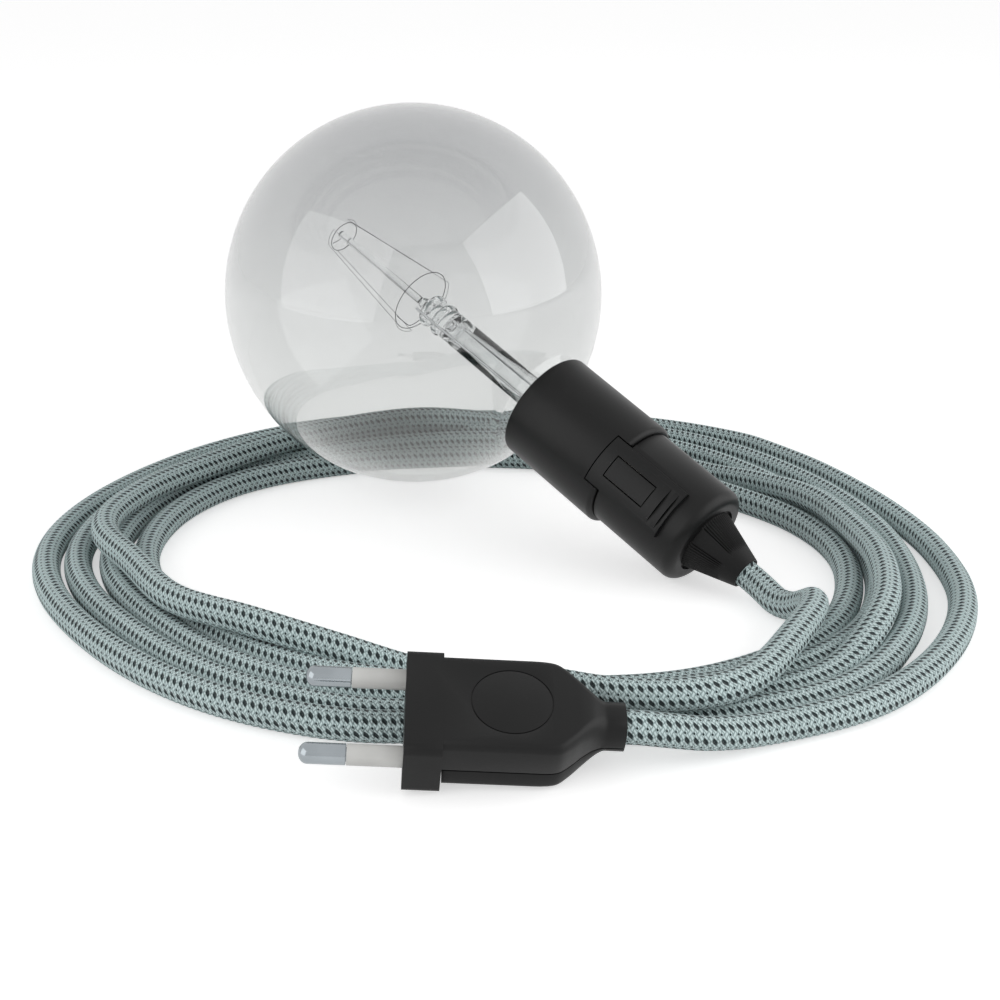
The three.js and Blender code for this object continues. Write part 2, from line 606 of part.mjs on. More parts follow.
// Two halves of the grip, one on each side of the sheath
function gripHalf(side) {
  const ring = tube(SHELL_BORE - 1.6, SHEATH_RADIUS + 0.15, GRIP_START, GRIP_START + GRIP_LENGTH, 32);
  const reach = SHELL_RADIUS;
  const range = side > 0 ? [PART_LINE / 2, reach] : [-reach, -PART_LINE / 2];
  const screwHole = cylinder(GRIP_SCREW_RADIUS + GAP, -reach, reach, 12).rotateY(Math.PI / 2);
  const middle = GRIP_START + GRIP_LENGTH / 2;
  const holes = [-1, 1].map((turn) => screwHole.clone().translate(0, turn * GRIP_SCREW_OFFSET, middle));
  const keep = box(range, [-reach, reach], [GRIP_START - 1, GRIP_START + GRIP_LENGTH + 1]);
  return cut(common(ring, keep), ...holes);
}

function gripScrew(side) {
  return cylinder(GRIP_SCREW_RADIUS, -6.6, 6.6, 12).rotateY(Math.PI / 2)
    .translate(0, side * GRIP_SCREW_OFFSET, GRIP_START + GRIP_LENGTH / 2);
}

function holderCore(side) {
  const y = side * TERMINAL_OFFSET;
  const end = GRIP_START - GAP;
  const room = end - TERMINAL_END;
  return wire([
    [0, side * 1.35, end], [0, side * 1.7, end - room * 0.18],
    [0, y - side * 0.4, TERMINAL_END + room * 0.4], [0, y, TERMINAL_END + room * 0.18],
    [0, y, TERMINAL_END], [0, y, TERMINAL_END - TERMINAL_LENGTH / 2],
  ], CORE_RADIUS, 8, 14);
}

// The cord's end in the holder: braid as far as the boot, then the bare sheath
function holderSheath() {
  const braid = CORD_DIAMETER / 2;
  const bare = SHEATH_RADIUS - 0.1;
  return revolve([
    [0, GRIP_START], [bare, GRIP_START], [bare, BOOT_START], [braid, BOOT_START],
    [braid, BOOT_END - GAP], [0, BOOT_END - GAP],
  ], 20);
}

function boot() {
  const bore = CORD_DIAMETER / 2 + GAP;
  const flangeEnd = BOOT_FLANGE_START + BOOT_FLANGE;
  const flange = BOOT_STEM_RADIUS + 1.6;
  const body = revolve([
    [bore, BOOT_FLANGE_START], [flange, BOOT_FLANGE_START], [flange, flangeEnd],
    [BOOT_STEM_RADIUS, flangeEnd], [BOOT_STEM_RADIUS, BOOT_START],
    [BOOT_BASE_RADIUS - 0.3, BOOT_START], [BOOT_BASE_RADIUS, BOOT_START + 0.5],
    [BOOT_TIP_RADIUS + 0.15, BOOT_END - 1], [BOOT_TIP_RADIUS, BOOT_END - 0.4],
    [BOOT_TIP_RADIUS - 0.1, BOOT_END], [bore, BOOT_END],
  ], 36);
  const lean = Math.atan2(BOOT_BASE_RADIUS - BOOT_TIP_RADIUS, BOOT_END - BOOT_START);
  const grooves = [];
  for (const middle of [-90, 90]) {
    for (let i = 0; i < BOOT_RIBS; i++) {
      const turn = degrees(middle + BOOT_RIB_STEP * (i - (BOOT_RIBS - 1) / 2));
      grooves.push(box([-BOOT_RIB_CUT, 1], [-0.3, 0.3], [0.8, BOOT_RIB_LENGTH])
        .rotateY(-lean).translate(BOOT_BASE_RADIUS, 0, BOOT_START).rotateZ(turn));
    }
  }
  return cut(body, ...grooves);
}

function buildHolder() {
  addToLamp('holder_skirt', holderSkirt(), BLACK_PLASTIC);
  addToLamp('holder_shell', holderShell(), BLACK_PLASTIC);
  addToLamp('holder_insert', holderInsert(), CERAMIC);
  addToLamp('socket_shell', socketShell(), BRASS);
  addToLamp('centre_contact', centreContact(), BRASS);
  [1, -1].forEach((side, i) => {
    addToLamp(`holder_terminal_${i + 1}`, terminalBlock(side), BRASS);
    addToLamp(`holder_terminal_screw_${i + 1}`, terminalScrew(side), STEEL);
    addToLamp(`holder_core_${i + 1}`, holderCore(side), i === 0 ? LIVE_PVC : NEUTRAL_PVC);
    addToLamp(`cord_grip_${i + 1}`, gripHalf(side), BLACK_PLASTIC);
    addToLamp(`cord_grip_screw_${i + 1}`, gripScrew(side), STEEL);
  });
  addToLamp('holder_sheath', holderSheath(), SHEATH_PVC);
  addToLamp('strain_relief', boot(), DARK_RUBBER);
}

// Plug

const BODY_TOP = BODY.height / 2;
const SEAM_HEIGHT = BODY_TOP - SEAM * BODY.height;
const CAVITY_HALF_HEIGHT = BODY_TOP - PLUG_WALL;

// The body's outline, seen on its marked face: straight sides, then a round shoulder in to the neck
function bodyOutline(start) {
  const [wide, narrow] = [BODY.width / 2, NECK.width / 2];
  const reach = BODY.neck - BODY.shoulder;
  const line = SHOULDER_LINE.map(([way, left]) => [
    BODY.shoulder + reach * way, narrow + (wide - narrow) * left,
  ]);
  const upper = [[start, wide], ...line];
  const lower = upper.map(([x, y]) => [x, -y]).reverse();
  return new THREE.Shape([...upper, ...lower].map(([x, y]) => new THREE.Vector2(x, y)));
}

function plugBody() {
  const body = new THREE.ExtrudeGeometry(bodyOutline(FLANGE.depth - 2 * BODY.edge), {
    depth: BODY.height - 2 * BODY.edge,
    bevelThickness: BODY.edge,
    bevelSize: BODY.edge,
    bevelOffset: -BODY.edge,
    bevelSegments: 3,
  }).translate(0, 0, BODY.edge - BODY_TOP);
  const neckStart = BODY.neck - 2 * BODY.edge;
  const neckShape = roundedRectangle(NECK.width, NECK.height, NECK.corner);
  return join(body, alongX(plate(neckShape, PLUG_LENGTH - neckStart), neckStart));
}

// The flange, flush with the body on the marked side
function plugFlange() {
  return alongX(plate(roundedRectangle(FLANGE.width, FLANGE.height, FLANGE.corner), FLANGE.depth), 0)
    .translate(0, 0, BODY_TOP - FLANGE.height / 2);
}

// What is hollow in both halves together
function plugHollow() {
  const half = CAVITY_HALF_HEIGHT;
  const reach = BODY.width / 2 - PLUG_SIDE_WALL;
  const wide = box([PLUG_TERMINAL.start - 0.4, BODY.shoulder], [-reach, reach], [-half, half]);
  const main = join(wide, box([BODY.shoulder - 1, BODY.shoulder + 3.4], [-7.5, 7.5], [-half, half]));
  const sheath = [-SHEATH_RADIUS - GAP, SHEATH_RADIUS + GAP];
  const narrow = box([BODY.shoulder, BODY.neck - 3], [-3.6, 3.6], sheath);
  const bore = cylinder(CORD_DIAMETER / 2 + GAP, BODY.neck - 4, PLUG_LENGTH + 1, 24).rotateY(Math.PI / 2);
  const pins = [-1, 1].map((side) => cylinder(PIN_RADIUS + GAP, -1, PLUG_TERMINAL.start + 1, 20)
    .rotateY(Math.PI / 2).translate(0, (side * PIN_SPACING) / 2, 0));
  return join(main, narrow, bore, ...pins);
}

function ringGroove() {
  const { x, radius, width, depth } = RING_GROOVE;
  return tube(radius + width / 2, radius - width / 2, BODY_TOP - depth, BODY_TOP + 1, 40).translate(x, 0, 0);
}

function screwBore(top) {
  return cylinder(HOUSING_SCREW.shank + GAP, -BODY.height, top, 16).translate(HOUSING_SCREW.x, 0, 0);
}

function plugUpper() {
  const across = [-BODY.width, BODY.width];
  const keep = box([-1, PLUG_LENGTH + 1], across, [SEAM_HEIGHT + PART_LINE / 2, BODY.height]);
  const shell = join(common(plugBody(), keep), plugFlange());
  const boss = cylinder(HOUSING_SCREW.shank + 1.6, SEAM_HEIGHT + PART_LINE / 2, BODY_TOP - 1, 20)
    .translate(HOUSING_SCREW.x, 0, 0);
  return cut(join(cut(shell, plugHollow()), boss), ringGroove(), screwBore(BODY_TOP - 2));
}

function plugLower() {
  const across = [-BODY.width, BODY.width];
  const below = [-BODY.height, SEAM_HEIGHT - PART_LINE / 2];
  const keep = box([FLANGE.depth + PART_LINE, PLUG_LENGTH + 1], across, below);
  const hollow = cut(common(plugBody(), keep), plugHollow());
  const headSeat = cylinder(HOUSING_SCREW.head + GAP, -BODY.height, -BODY_TOP + 1, 20)
    .translate(HOUSING_SCREW.x, 0, 0);
  return cut(hollow, headSeat, screwBore(0));
}

function plugPin(side) {
  const y = (side * PIN_SPACING) / 2;
  const { start, length, size, inset, screw } = PLUG_TERMINAL;
  const nose = -PIN_LENGTH;
  const shank = -SLEEVE_LENGTH - GAP;
  const pin = revolve([
    [0, nose], [1, nose + 0.15], [1.7, nose + 0.7], [PIN_RADIUS, nose + 1.6], [PIN_RADIUS, shank],
    [PIN_CORE_RADIUS, shank], [PIN_CORE_RADIUS, start + 0.6], [0, start + 0.6],
  ], 20).rotateY(Math.PI / 2);
  const block = box([start, start + length], [-size / 2, size / 2], [-size / 2, size / 2]);
  const inward = block.translate(0, -side * inset, 0);
  const wireHole = cylinder(CORE_RADIUS + GAP, start + 2, start + length + 1, 12)
    .rotateY(Math.PI / 2).translate(0, -side * inset, 0);
  const screwHole = cylinder(TERMINAL_SCREW_RADIUS + 0.2, -size, 0, 12)
    .translate(start + screw, -side * inset, 0);
  return cut(join(pin, inward), wireHole, screwHole).translate(0, y, 0);
}

function pinSleeve(side) {
  return tube(PIN_RADIUS, PIN_CORE_RADIUS + SLEEVE_WALL, -SLEEVE_LENGTH, PLUG_TERMINAL.start - 2, 20)
    .rotateY(Math.PI / 2).translate(0, (side * PIN_SPACING) / 2, 0);
}

function plugTerminalScrew(side) {
  const { start, size, inset, screw: place } = PLUG_TERMINAL;
  const head = size / 2 + 0.2;
  const screw = revolve([
    [0, CORE_RADIUS + GAP], [TERMINAL_SCREW_RADIUS, CORE_RADIUS + GAP], [TERMINAL_SCREW_RADIUS, head],
    [1.7, head], [1.7, head + 1], [0, head + 1],
  ], 16);
  const slot = box([-2, 2], [-0.25, 0.25], [head + 0.5, head + 2]);
  return cut(screw, slot).rotateX(Math.PI)
    .translate(start + place, side * (PIN_SPACING / 2 - inset), 0);
}

function plugCore(side) {
  const { start, length, inset } = PLUG_TERMINAL;
  const y = side * (PIN_SPACING / 2 - inset);
  return wire([
    [CLAMP.x - 1.6, side * 1.35, 0], [CLAMP.x - 2.6, side * 1.6, 0], [start + length + 3.4, side * 5.4, 0],
    [start + length + 0.6, y, 0], [start + length - 2.5, y, 0],
  ], CORE_RADIUS, 8, 16);
}

function plugSheath() {
  const braid = CORD_DIAMETER / 2;
  const braidStart = BODY.neck - 4 + GAP;
  const end = PLUG_LENGTH;
  return revolve([
    [0, CLAMP.x - 1.2], [SHEATH_RADIUS, CLAMP.x - 1.2], [SHEATH_RADIUS, braidStart], [braid, braidStart],
    [braid, end], [0, end],
  ], 20).rotateY(Math.PI / 2);
}

function clampBar() {
  const { x, length, width, height } = CLAMP;
  const bottom = SHEATH_RADIUS + 0.15;
  const bar = box([x, x + length], [-width / 2, width / 2], [bottom, bottom + height]);
  const holes = [-1, 1].map((side) => cylinder(1.1, 0, 10, 12)
    .translate(x + length / 2, side * CLAMP_SCREW_OFFSET, 0));
  return cut(bar, ...holes);
}

function clampScrew(side) {
  return cylinder(0.8, -CAVITY_HALF_HEIGHT + GAP, CAVITY_HALF_HEIGHT - GAP, 12)
    .translate(CLAMP.x + CLAMP.length / 2, side * CLAMP_SCREW_OFFSET, 0);
}

function housingScrew() {
  const { head, shank } = HOUSING_SCREW;
  const [bottom, underHead, tip] = [-BODY_TOP + 0.2, -BODY_TOP + 0.7, BODY_TOP - 2 - GAP];
  const screw = revolve([
    [0, bottom], [head, bottom], [head, underHead], [shank, underHead], [shank, tip], [0, tip],
  ], 20);
  return screw.translate(HOUSING_SCREW.x, 0, 0);
}

function buildPlug() {
  addToPlug('plug_upper', plugUpper(), BLACK_PLASTIC);
  addToPlug('plug_lower', plugLower(), BLACK_PLASTIC);
  [1, -1].forEach((side, i) => {
    addToPlug(`plug_pin_${i + 1}`, plugPin(side), NICKEL);
    addToPlug(`pin_sleeve_${i + 1}`, pinSleeve(side), SLEEVE_PLASTIC);
    addToPlug(`plug_terminal_screw_${i + 1}`, plugTerminalScrew(side), STEEL);
    addToPlug(`plug_core_${i + 1}`, plugCore(side), i === 0 ? LIVE_PVC : NEUTRAL_PVC);
    addToPlug(`clamp_screw_${i + 1}`, clampScrew(side), STEEL);
  });
  addToPlug('clamp_bar', clampBar(), BRASS);
  addToPlug('plug_sheath', plugSheath(), SHEATH_PVC);
  addToPlug('housing_screw', housingScrew(), STEEL);
}

// Cord

const LAST_TURN = COIL_TURNS.length - 1;

// Every strand that crosses the given direction, as { radius, height }
function strandsAt(turnDegrees) {
  const route = COIL_TURNS.flatMap((turn, k) => turn.map(([angle, ...place]) => [angle + 360 * k, ...place]));
  const [first, last] = [route[0][0], route[route.length - 1][0]];
  const strands = [];
  for (let k = -1; k <= LAST_TURN; k++) {
    const angle = turnDegrees + 360 * k;
    if (angle < first || angle > last) continue;
    const next = Math.max(1, route.findIndex(([a]) => a >= angle));
    const [from, to] = [route[next - 1], route[next]];
    const share = (angle - from[0]) / (to[0] - from[0]);
    strands.push({
      radius: THREE.MathUtils.lerp(from[1], to[1], share),
      height: THREE.MathUtils.lerp(from[2], to[2], share),
    });
  }
  return strands;
}

// The outline of all strands in one direction: a low slab with a ridge where one strand rides on the others
function coilSection(turnDegrees) {
  const strands = strandsAt(turnDegrees);
  const half = CORD_DIAMETER / 2;
  const round = half * 0.8;
  const inner = Math.min(...strands.map((s) => s.radius)) - half;
  const outer = Math.max(...strands.map((s) => s.radius)) + half;
  const top = strands.reduce((a, b) => (b.height > a.height ? b : a));
  const low = LIE + half;
  const high = Math.max(top.height + half, low + 0.05);
  const ridge = THREE.MathUtils.clamp(top.radius, inner + half + 0.5, outer - half - 0.5);
  const floor = LIE - half;
  return [
    [inner + round, floor], [outer - round, floor], [outer, floor + round], [outer, low - round],
    [outer - round, low], [ridge + half * 0.9, low], [ridge + half * 0.5, high], [ridge - half * 0.5, high],
    [ridge - half * 0.9, low], [inner + round, low], [inner, low - round], [inner, floor + round],
  ];
}

// The coil as one solid. A close pair of sections makes the step where the outermost strand leaves it.
function coilSolid() {
  const leave = COIL_TURNS[LAST_TURN].at(-1)[0];
  const directions = [];
  for (let angle = 0; angle < 360; angle += 9) directions.push(angle);
  directions.push(leave - 0.1, leave + 0.4);
  directions.sort((a, b) => a - b);
  const sections = directions.map((angle) => {
    const direction = degrees(-90 - angle);
    return coilSection(angle).map(([radius, height]) => [
      COIL_CENTRE.x + radius * Math.cos(direction), COIL_CENTRE.y + radius * Math.sin(direction), height,
    ]);
  });
  const sides = sections[0].length;
  const index = [];
  sections.forEach((_, i) => {
    const next = (i + 1) % sections.length;
    for (let j = 0; j < sides; j++) {
      const k = (j + 1) % sides;
      const [a, b, c, d] = [i * sides + j, i * sides + k, next * sides + k, next * sides + j];
      index.push(a, b, c, a, c, d);
    }
  });
  const geometry = new THREE.BufferGeometry();
  geometry.setAttribute('position', new THREE.BufferAttribute(new Float32Array(sections.flat(2)), 3));
  geometry.setIndex(index);
  geometry.computeVertexNormals();
  return geometry;
}

function onLampAxis(distance) {
  return new THREE.Vector3(0, 0, distance).applyMatrix4(lampPlace);
}

function onPlugAxis(distance) {
  return new THREE.Vector3(distance, 0, 0).applyMatrix4(plugPlace);
}

function lead(points, steps) {
  return sweep(new THREE.CatmullRomCurve3(points), CORD_DIAMETER / 2, CORD_SIDES, steps);
}

function buildCord() {
  const toCoil = LAMP_LEAD.map((p) => new THREE.Vector3(...p));
  const toPlug = PLUG_LEAD.map((p) => new THREE.Vector3(...p));
  const fromBoot = [onLampAxis(BOOT_END), onLampAxis(BOOT_END + STRAIGHT)];
  const intoPlug = [onPlugAxis(PLUG_LENGTH + STRAIGHT), onPlugAxis(PLUG_LENGTH + GAP)];
  addPiece('cord_lamp_lead', lead([...fromBoot, ...toCoil], 12), CORD_FABRIC);
  addPiece('cord_coil', coilSolid(), CORD_FABRIC);
  addPiece('cord_plug_lead', lead([...toPlug, ...intoPlug], 26), CORD_FABRIC);
}

buildBulb();
buildHolder();
buildPlug();
buildCord();

export default group;
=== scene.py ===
import math

import bpy
import numpy as np
from mathutils import Matrix, Vector


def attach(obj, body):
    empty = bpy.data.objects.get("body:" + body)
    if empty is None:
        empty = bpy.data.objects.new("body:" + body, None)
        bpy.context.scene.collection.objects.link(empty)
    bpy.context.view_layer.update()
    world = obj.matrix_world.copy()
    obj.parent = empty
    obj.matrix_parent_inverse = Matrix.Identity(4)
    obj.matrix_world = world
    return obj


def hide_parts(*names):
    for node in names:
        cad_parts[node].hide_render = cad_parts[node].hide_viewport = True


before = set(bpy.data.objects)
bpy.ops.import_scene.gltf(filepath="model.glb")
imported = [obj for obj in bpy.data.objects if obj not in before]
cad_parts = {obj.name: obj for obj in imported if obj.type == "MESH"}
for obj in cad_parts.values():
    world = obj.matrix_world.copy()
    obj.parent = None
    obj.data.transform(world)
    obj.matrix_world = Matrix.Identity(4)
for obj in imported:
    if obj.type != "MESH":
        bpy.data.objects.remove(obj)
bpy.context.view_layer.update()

MM = 0.001

# Sizes in millimetres, as in the part's source, but for a thinner globe wall, finer wires in the bulb and a
# fuller boot in a tighter recess, as they look in the photograph
GLOBE_RADIUS = 50
GLOBE_WALL = 0.15
STEM_TIP = 12
STEM_RADIUS = 4.1
COLLAR_RADIUS = 4.6
ROD_RADIUS = 1
ROD_TIP, ROD_END = -31, 2.7
HOOP_WIRE = 0.11
SMALL_HOOP = (4.4, -29.5)
BIG_HOOP = (8.8, 2.5)
HOOP_ARM_TURN = 55
FILAMENT_WIRE = 0.06
FILAMENT_RUNS = 6
GAP = 0.3
SKIRT_RADIUS = 14.3
SKIRT_START = 50.8
SKIRT_END = 81
SKIRT_BORE = 12.6
SKIRT_ROUND = 1.4
SHELL_START = SKIRT_END + GAP
SHELL_RADIUS = 13
SHELL_CORNER = 2.8
SHELL_END = SHELL_START + 25.1
SHELL_FLOOR = SHELL_END - 2.4
SPIGOT_RADIUS = SKIRT_BORE - GAP
SPIGOT_WALL = 1.1
END_RECESS_RADIUS = 8.8
END_RECESS = 0.9
PAD_WIDTH = 12.7
PAD_START = SKIRT_END - 3.8
PAD_END = PAD_START + 22.8
TONGUE_WIDTH = 6.1
TONGUE_START = PAD_START + 3.5
TONGUE_END = TONGUE_START + 12.5
TONGUE_LINE = 0.3
PAD_NOTCHES = ((3.6, 1.2), (1.2, 0.6))
BOOT_START = SHELL_END - END_RECESS + GAP
BOOT_END = BOOT_START + 13.2
BOOT_BASE_RADIUS = 8.1
BOOT_TIP_RADIUS = 4.1
BOOT_STEM_RADIUS = 4.9
CORD_DIAMETER = 6.7
PLUG_LENGTH = 41.2
FLANGE_WIDTH, FLANGE_HEIGHT, FLANGE_DEPTH, FLANGE_CORNER = 24.8, 12.6, 7, 1.8
BODY_HEIGHT, BODY_SHOULDER, BODY_NECK = 11.6, 26, 37.2
SEAM_HEIGHT = BODY_HEIGHT * (0.5 - 0.6)
PART_LINE = 0.3
PIN_LENGTH = 19
PIN_RADIUS = 2
PIN_CORE_RADIUS = 1.3
PIN_SPACING = 18.6
SLEEVE_LENGTH = 10.2

# Where the lamp and the plug lie
GLOBE_CENTRE = (-17.25, 13.16, 55)
LAMP_AZIMUTH = -41.85
LAMP_DIP = 24.47
LATCH_TURN = 238.2
PLUG_PLACE = (-12.21, -139, 11.5)
PLUG_YAW = 2.51
PLUG_PITCH = 4.2
PLUG_ROLL = 20.8


def turn(axis, angle):
    return Matrix.Rotation(math.radians(angle), 4, axis)


def eased(t, span, start, end, start_slope, end_slope):
    """A value on its smooth way from start to end, at the share t of the span."""
    return ((2 * t**3 - 3 * t**2 + 1) * start + (t**3 - 2 * t**2 + t) * span * start_slope
            + (3 * t**2 - 2 * t**3) * end + (t**3 - t**2) * span * end_slope)


def eased_row(place, places, rows, slopes):
    """The row of the table at a place between two of its places."""
    i = min(max(int(np.searchsorted(places, place, side="right")) - 1, 0), len(places) - 2)
    span = places[i + 1] - places[i]
    return eased((place - places[i]) / span, span, rows[i], rows[i + 1], slopes[i], slopes[i + 1])


lamp_place = (Matrix.Translation(Vector(GLOBE_CENTRE)) @ turn("Z", LAMP_AZIMUTH)
              @ turn("Y", 90 + LAMP_DIP) @ turn("Z", LATCH_TURN))
plug_place = (Matrix.Translation(Vector(PLUG_PLACE)) @ turn("Z", PLUG_YAW)
              @ turn("Y", PLUG_PITCH) @ turn("X", PLUG_ROLL))

# Camera, as the photograph was taken
camera_data = bpy.data.cameras.new("camera")
camera_data.lens = 56.32
camera_data.sensor_width = 36
camera_data.clip_start = 0.01
camera = bpy.data.objects.new("camera", camera_data)
camera.location = (0.0056, -0.3965, 0.15372)
camera.rotation_euler = (math.radians(69), 0, 0)
bpy.context.scene.collection.objects.link(camera)
bpy.context.scene.camera = camera
bpy.context.scene.view_settings.view_transform = "Standard"


# Materials

def new_material(name):
    material = bpy.data.materials.new(name)
    material.use_nodes = True
    return material, material.node_tree, material.node_tree.nodes["Principled BSDF"]


def grey(value):
    return (value, value, value, 1)


def new_group(name, inputs, outputs):
    group = bpy.data.node_groups.new(name, "ShaderNodeTree")
    for label, kind, value in inputs:
        socket = group.interface.new_socket(label, in_out="INPUT", socket_type=kind)
        if value is not None:
            socket.default_value = value
    for label, kind in outputs:
        group.interface.new_socket(label, in_out="OUTPUT", socket_type=kind)
    return group, group.nodes.new("NodeGroupInput"), group.nodes.new("NodeGroupOutput")


class Sums:
    """Math nodes written as calls, in one node tree."""

    def __init__(self, tree):
        self.tree = tree

    def __call__(self, operation, *values):
        node = self.tree.nodes.new("ShaderNodeMath")
        node.operation = operation
        for socket, value in zip(node.inputs, values):
            if isinstance(value, (int, float)):
                socket.default_value = value
            else:
                self.tree.links.new(value, socket)
        return node.outputs[0]


def seen_directly(tree):
    """1 for rays from the camera, also by way of gloss or glass, and 0 for rays that gather light."""
    rays = tree.nodes.new("ShaderNodeLightPath")
    sums = Sums(tree)
    return sums("MAXIMUM", rays.outputs["Is Camera Ray"],
                sums("MAXIMUM", rays.outputs["Is Glossy Ray"], rays.outputs["Is Transmission Ray"]))


def moulded_grain_group():
    """Fine spark-eroded grain of moulded plastic: height, and colour and roughness that drift a little."""
    group, given, out = new_group(
        "moulded_grain",
        [("Colour", "NodeSocketColor", grey(0.02)), ("Roughness", "NodeSocketFloat", 0.45),
         ("Grain Size", "NodeSocketFloat", 0.25), ("Drift", "NodeSocketFloat", 0.12)],
        [("Colour", "NodeSocketColor"), ("Roughness", "NodeSocketFloat"), ("Height", "NodeSocketFloat")])
    sums = Sums(group)
    link = group.links.new
    place = group.nodes.new("ShaderNodeTexCoord").outputs["Object"]
    fine = group.nodes.new("ShaderNodeTexNoise")
    fine.inputs["Detail"].default_value = 3
    link(place, fine.inputs["Vector"])
    link(sums("DIVIDE", 1000, given.outputs["Grain Size"]), fine.inputs["Scale"])
    broad = group.nodes.new("ShaderNodeTexNoise")
    broad.inputs["Scale"].default_value = 90
    broad.inputs["Detail"].default_value = 4
    link(place, broad.inputs["Vector"])
    swing = sums("SUBTRACT", broad.outputs["Fac"], 0.5)
    rough = sums("MULTIPLY_ADD", swing, given.outputs["Drift"], given.outputs["Roughness"])
    link(sums("MULTIPLY_ADD", fine.outputs["Fac"], 0.04, rough), out.inputs["Roughness"])
    shade = group.nodes.new("ShaderNodeHueSaturation")
    link(given.outputs["Colour"], shade.inputs["Color"])
    link(sums("MULTIPLY_ADD", swing, 0.5, 1), shade.inputs["Value"])
    link(shade.outputs["Color"], out.inputs["Colour"])
    link(fine.outputs["Fac"], out.inputs["Height"])
    return group


MOULDED_GRAIN = moulded_grain_group()


def bump(tree, height, distance, strength=1.0):
    node = tree.nodes.new("ShaderNodeBump")
    node.inputs["Distance"].default_value = distance
    node.inputs["Strength"].default_value = strength
    tree.links.new(height, node.inputs["Height"])
    return node.outputs["Normal"]


def moulded(name, colour, roughness, grain=0.25, depth=0.00002, drift=0.12, shine=0.5):
    """Plastic, rubber or china out of a mould."""
    material, tree, shader = new_material(name)
    effect = tree.nodes.new("ShaderNodeGroup")
    effect.node_tree = MOULDED_GRAIN
    effect.inputs["Colour"].default_value = (*colour, 1)
    effect.inputs["Roughness"].default_value = roughness
    effect.inputs["Grain Size"].default_value = grain
    effect.inputs["Drift"].default_value = drift
    tree.links.new(effect.outputs["Colour"], shader.inputs["Base Color"])
    tree.links.new(effect.outputs["Roughness"], shader.inputs["Roughness"])
    tree.links.new(bump(tree, effect.outputs["Height"], depth), shader.inputs["Normal"])
    shader.inputs["Specular IOR Level"].default_value = shine
    return material


def metal(name, colour, roughness, grain=0.15, depth=0.000004):
    material = moulded(name, colour, roughness, grain, depth, 0.08)
    material.node_tree.nodes["Principled BSDF"].inputs["Metallic"].default_value = 1
    return material


def clear_glass(name, painted_shade_crown, foot):
    """Blown glass with painted shade: its tint dims from the foot towards the top, and goes grey at its rim."""
    material, tree, shader = new_material(name)
    place = tree.nodes.new("ShaderNodeTexCoord").outputs["Object"]
    split = tree.nodes.new("ShaderNodeSeparateXYZ")
    tree.links.new(place, split.inputs[0])
    # The tint runs by height from the foot's colour to a dimmer one at the top: painted shade, as the glass is the
    # same all over.
    ramp = tree.nodes.new("ShaderNodeMapRange")
    ramp.inputs["From Max"].default_value = (GLOBE_CENTRE[2] + GLOBE_RADIUS) * MM
    tree.links.new(split.outputs["Z"], ramp.inputs["Value"])
    cloud = tree.nodes.new("ShaderNodeTexNoise")
    cloud.inputs["Scale"].default_value = 12
    tree.links.new(place, cloud.inputs["Vector"])
    share = Sums(tree)("MULTIPLY_ADD", cloud.outputs["Fac"], 0.1, ramp.outputs["Result"])
    blend = tree.nodes.new("ShaderNodeMix")
    blend.data_type = "RGBA"
    blend.inputs["A"].default_value = (*foot, 1)
    blend.inputs["B"].default_value = (*painted_shade_crown, 1)
    tree.links.new(share, blend.inputs["Factor"])
    # Where the glass is seen edge-on, its tint is mixed towards grey: painted shade at the rim.
    rim = tree.nodes.new("ShaderNodeLayerWeight")
    rim.inputs["Blend"].default_value = 0.5
    edge = tree.nodes.new("ShaderNodeMapRange")
    edge.inputs["From Min"].default_value = 0.8
    edge.inputs["From Max"].default_value = 1.0
    edge.inputs["To Max"].default_value = 0.3
    tree.links.new(rim.outputs["Facing"], edge.inputs["Value"])
    painted_rim_shade = tree.nodes.new("ShaderNodeMix")
    painted_rim_shade.data_type = "RGBA"
    painted_rim_shade.inputs["B"].default_value = (0.16, 0.17, 0.18, 1)
    tree.links.new(edge.outputs["Result"], painted_rim_shade.inputs["Factor"])
    tree.links.new(blend.outputs["Result"], painted_rim_shade.inputs["A"])
    tree.links.new(painted_rim_shade.outputs["Result"], shader.inputs["Base Color"])
    shader.inputs["Roughness"].default_value = 0.0
    shader.inputs["IOR"].default_value = 1.45
    shader.inputs["Transmission Weight"].default_value = 1
    return material


# The braid repeats along the cord every BRAID_PITCH, and ROWS times round it
BRAID_PITCH = 1.77
ROWS = 7
LEAN = -1 / ROWS


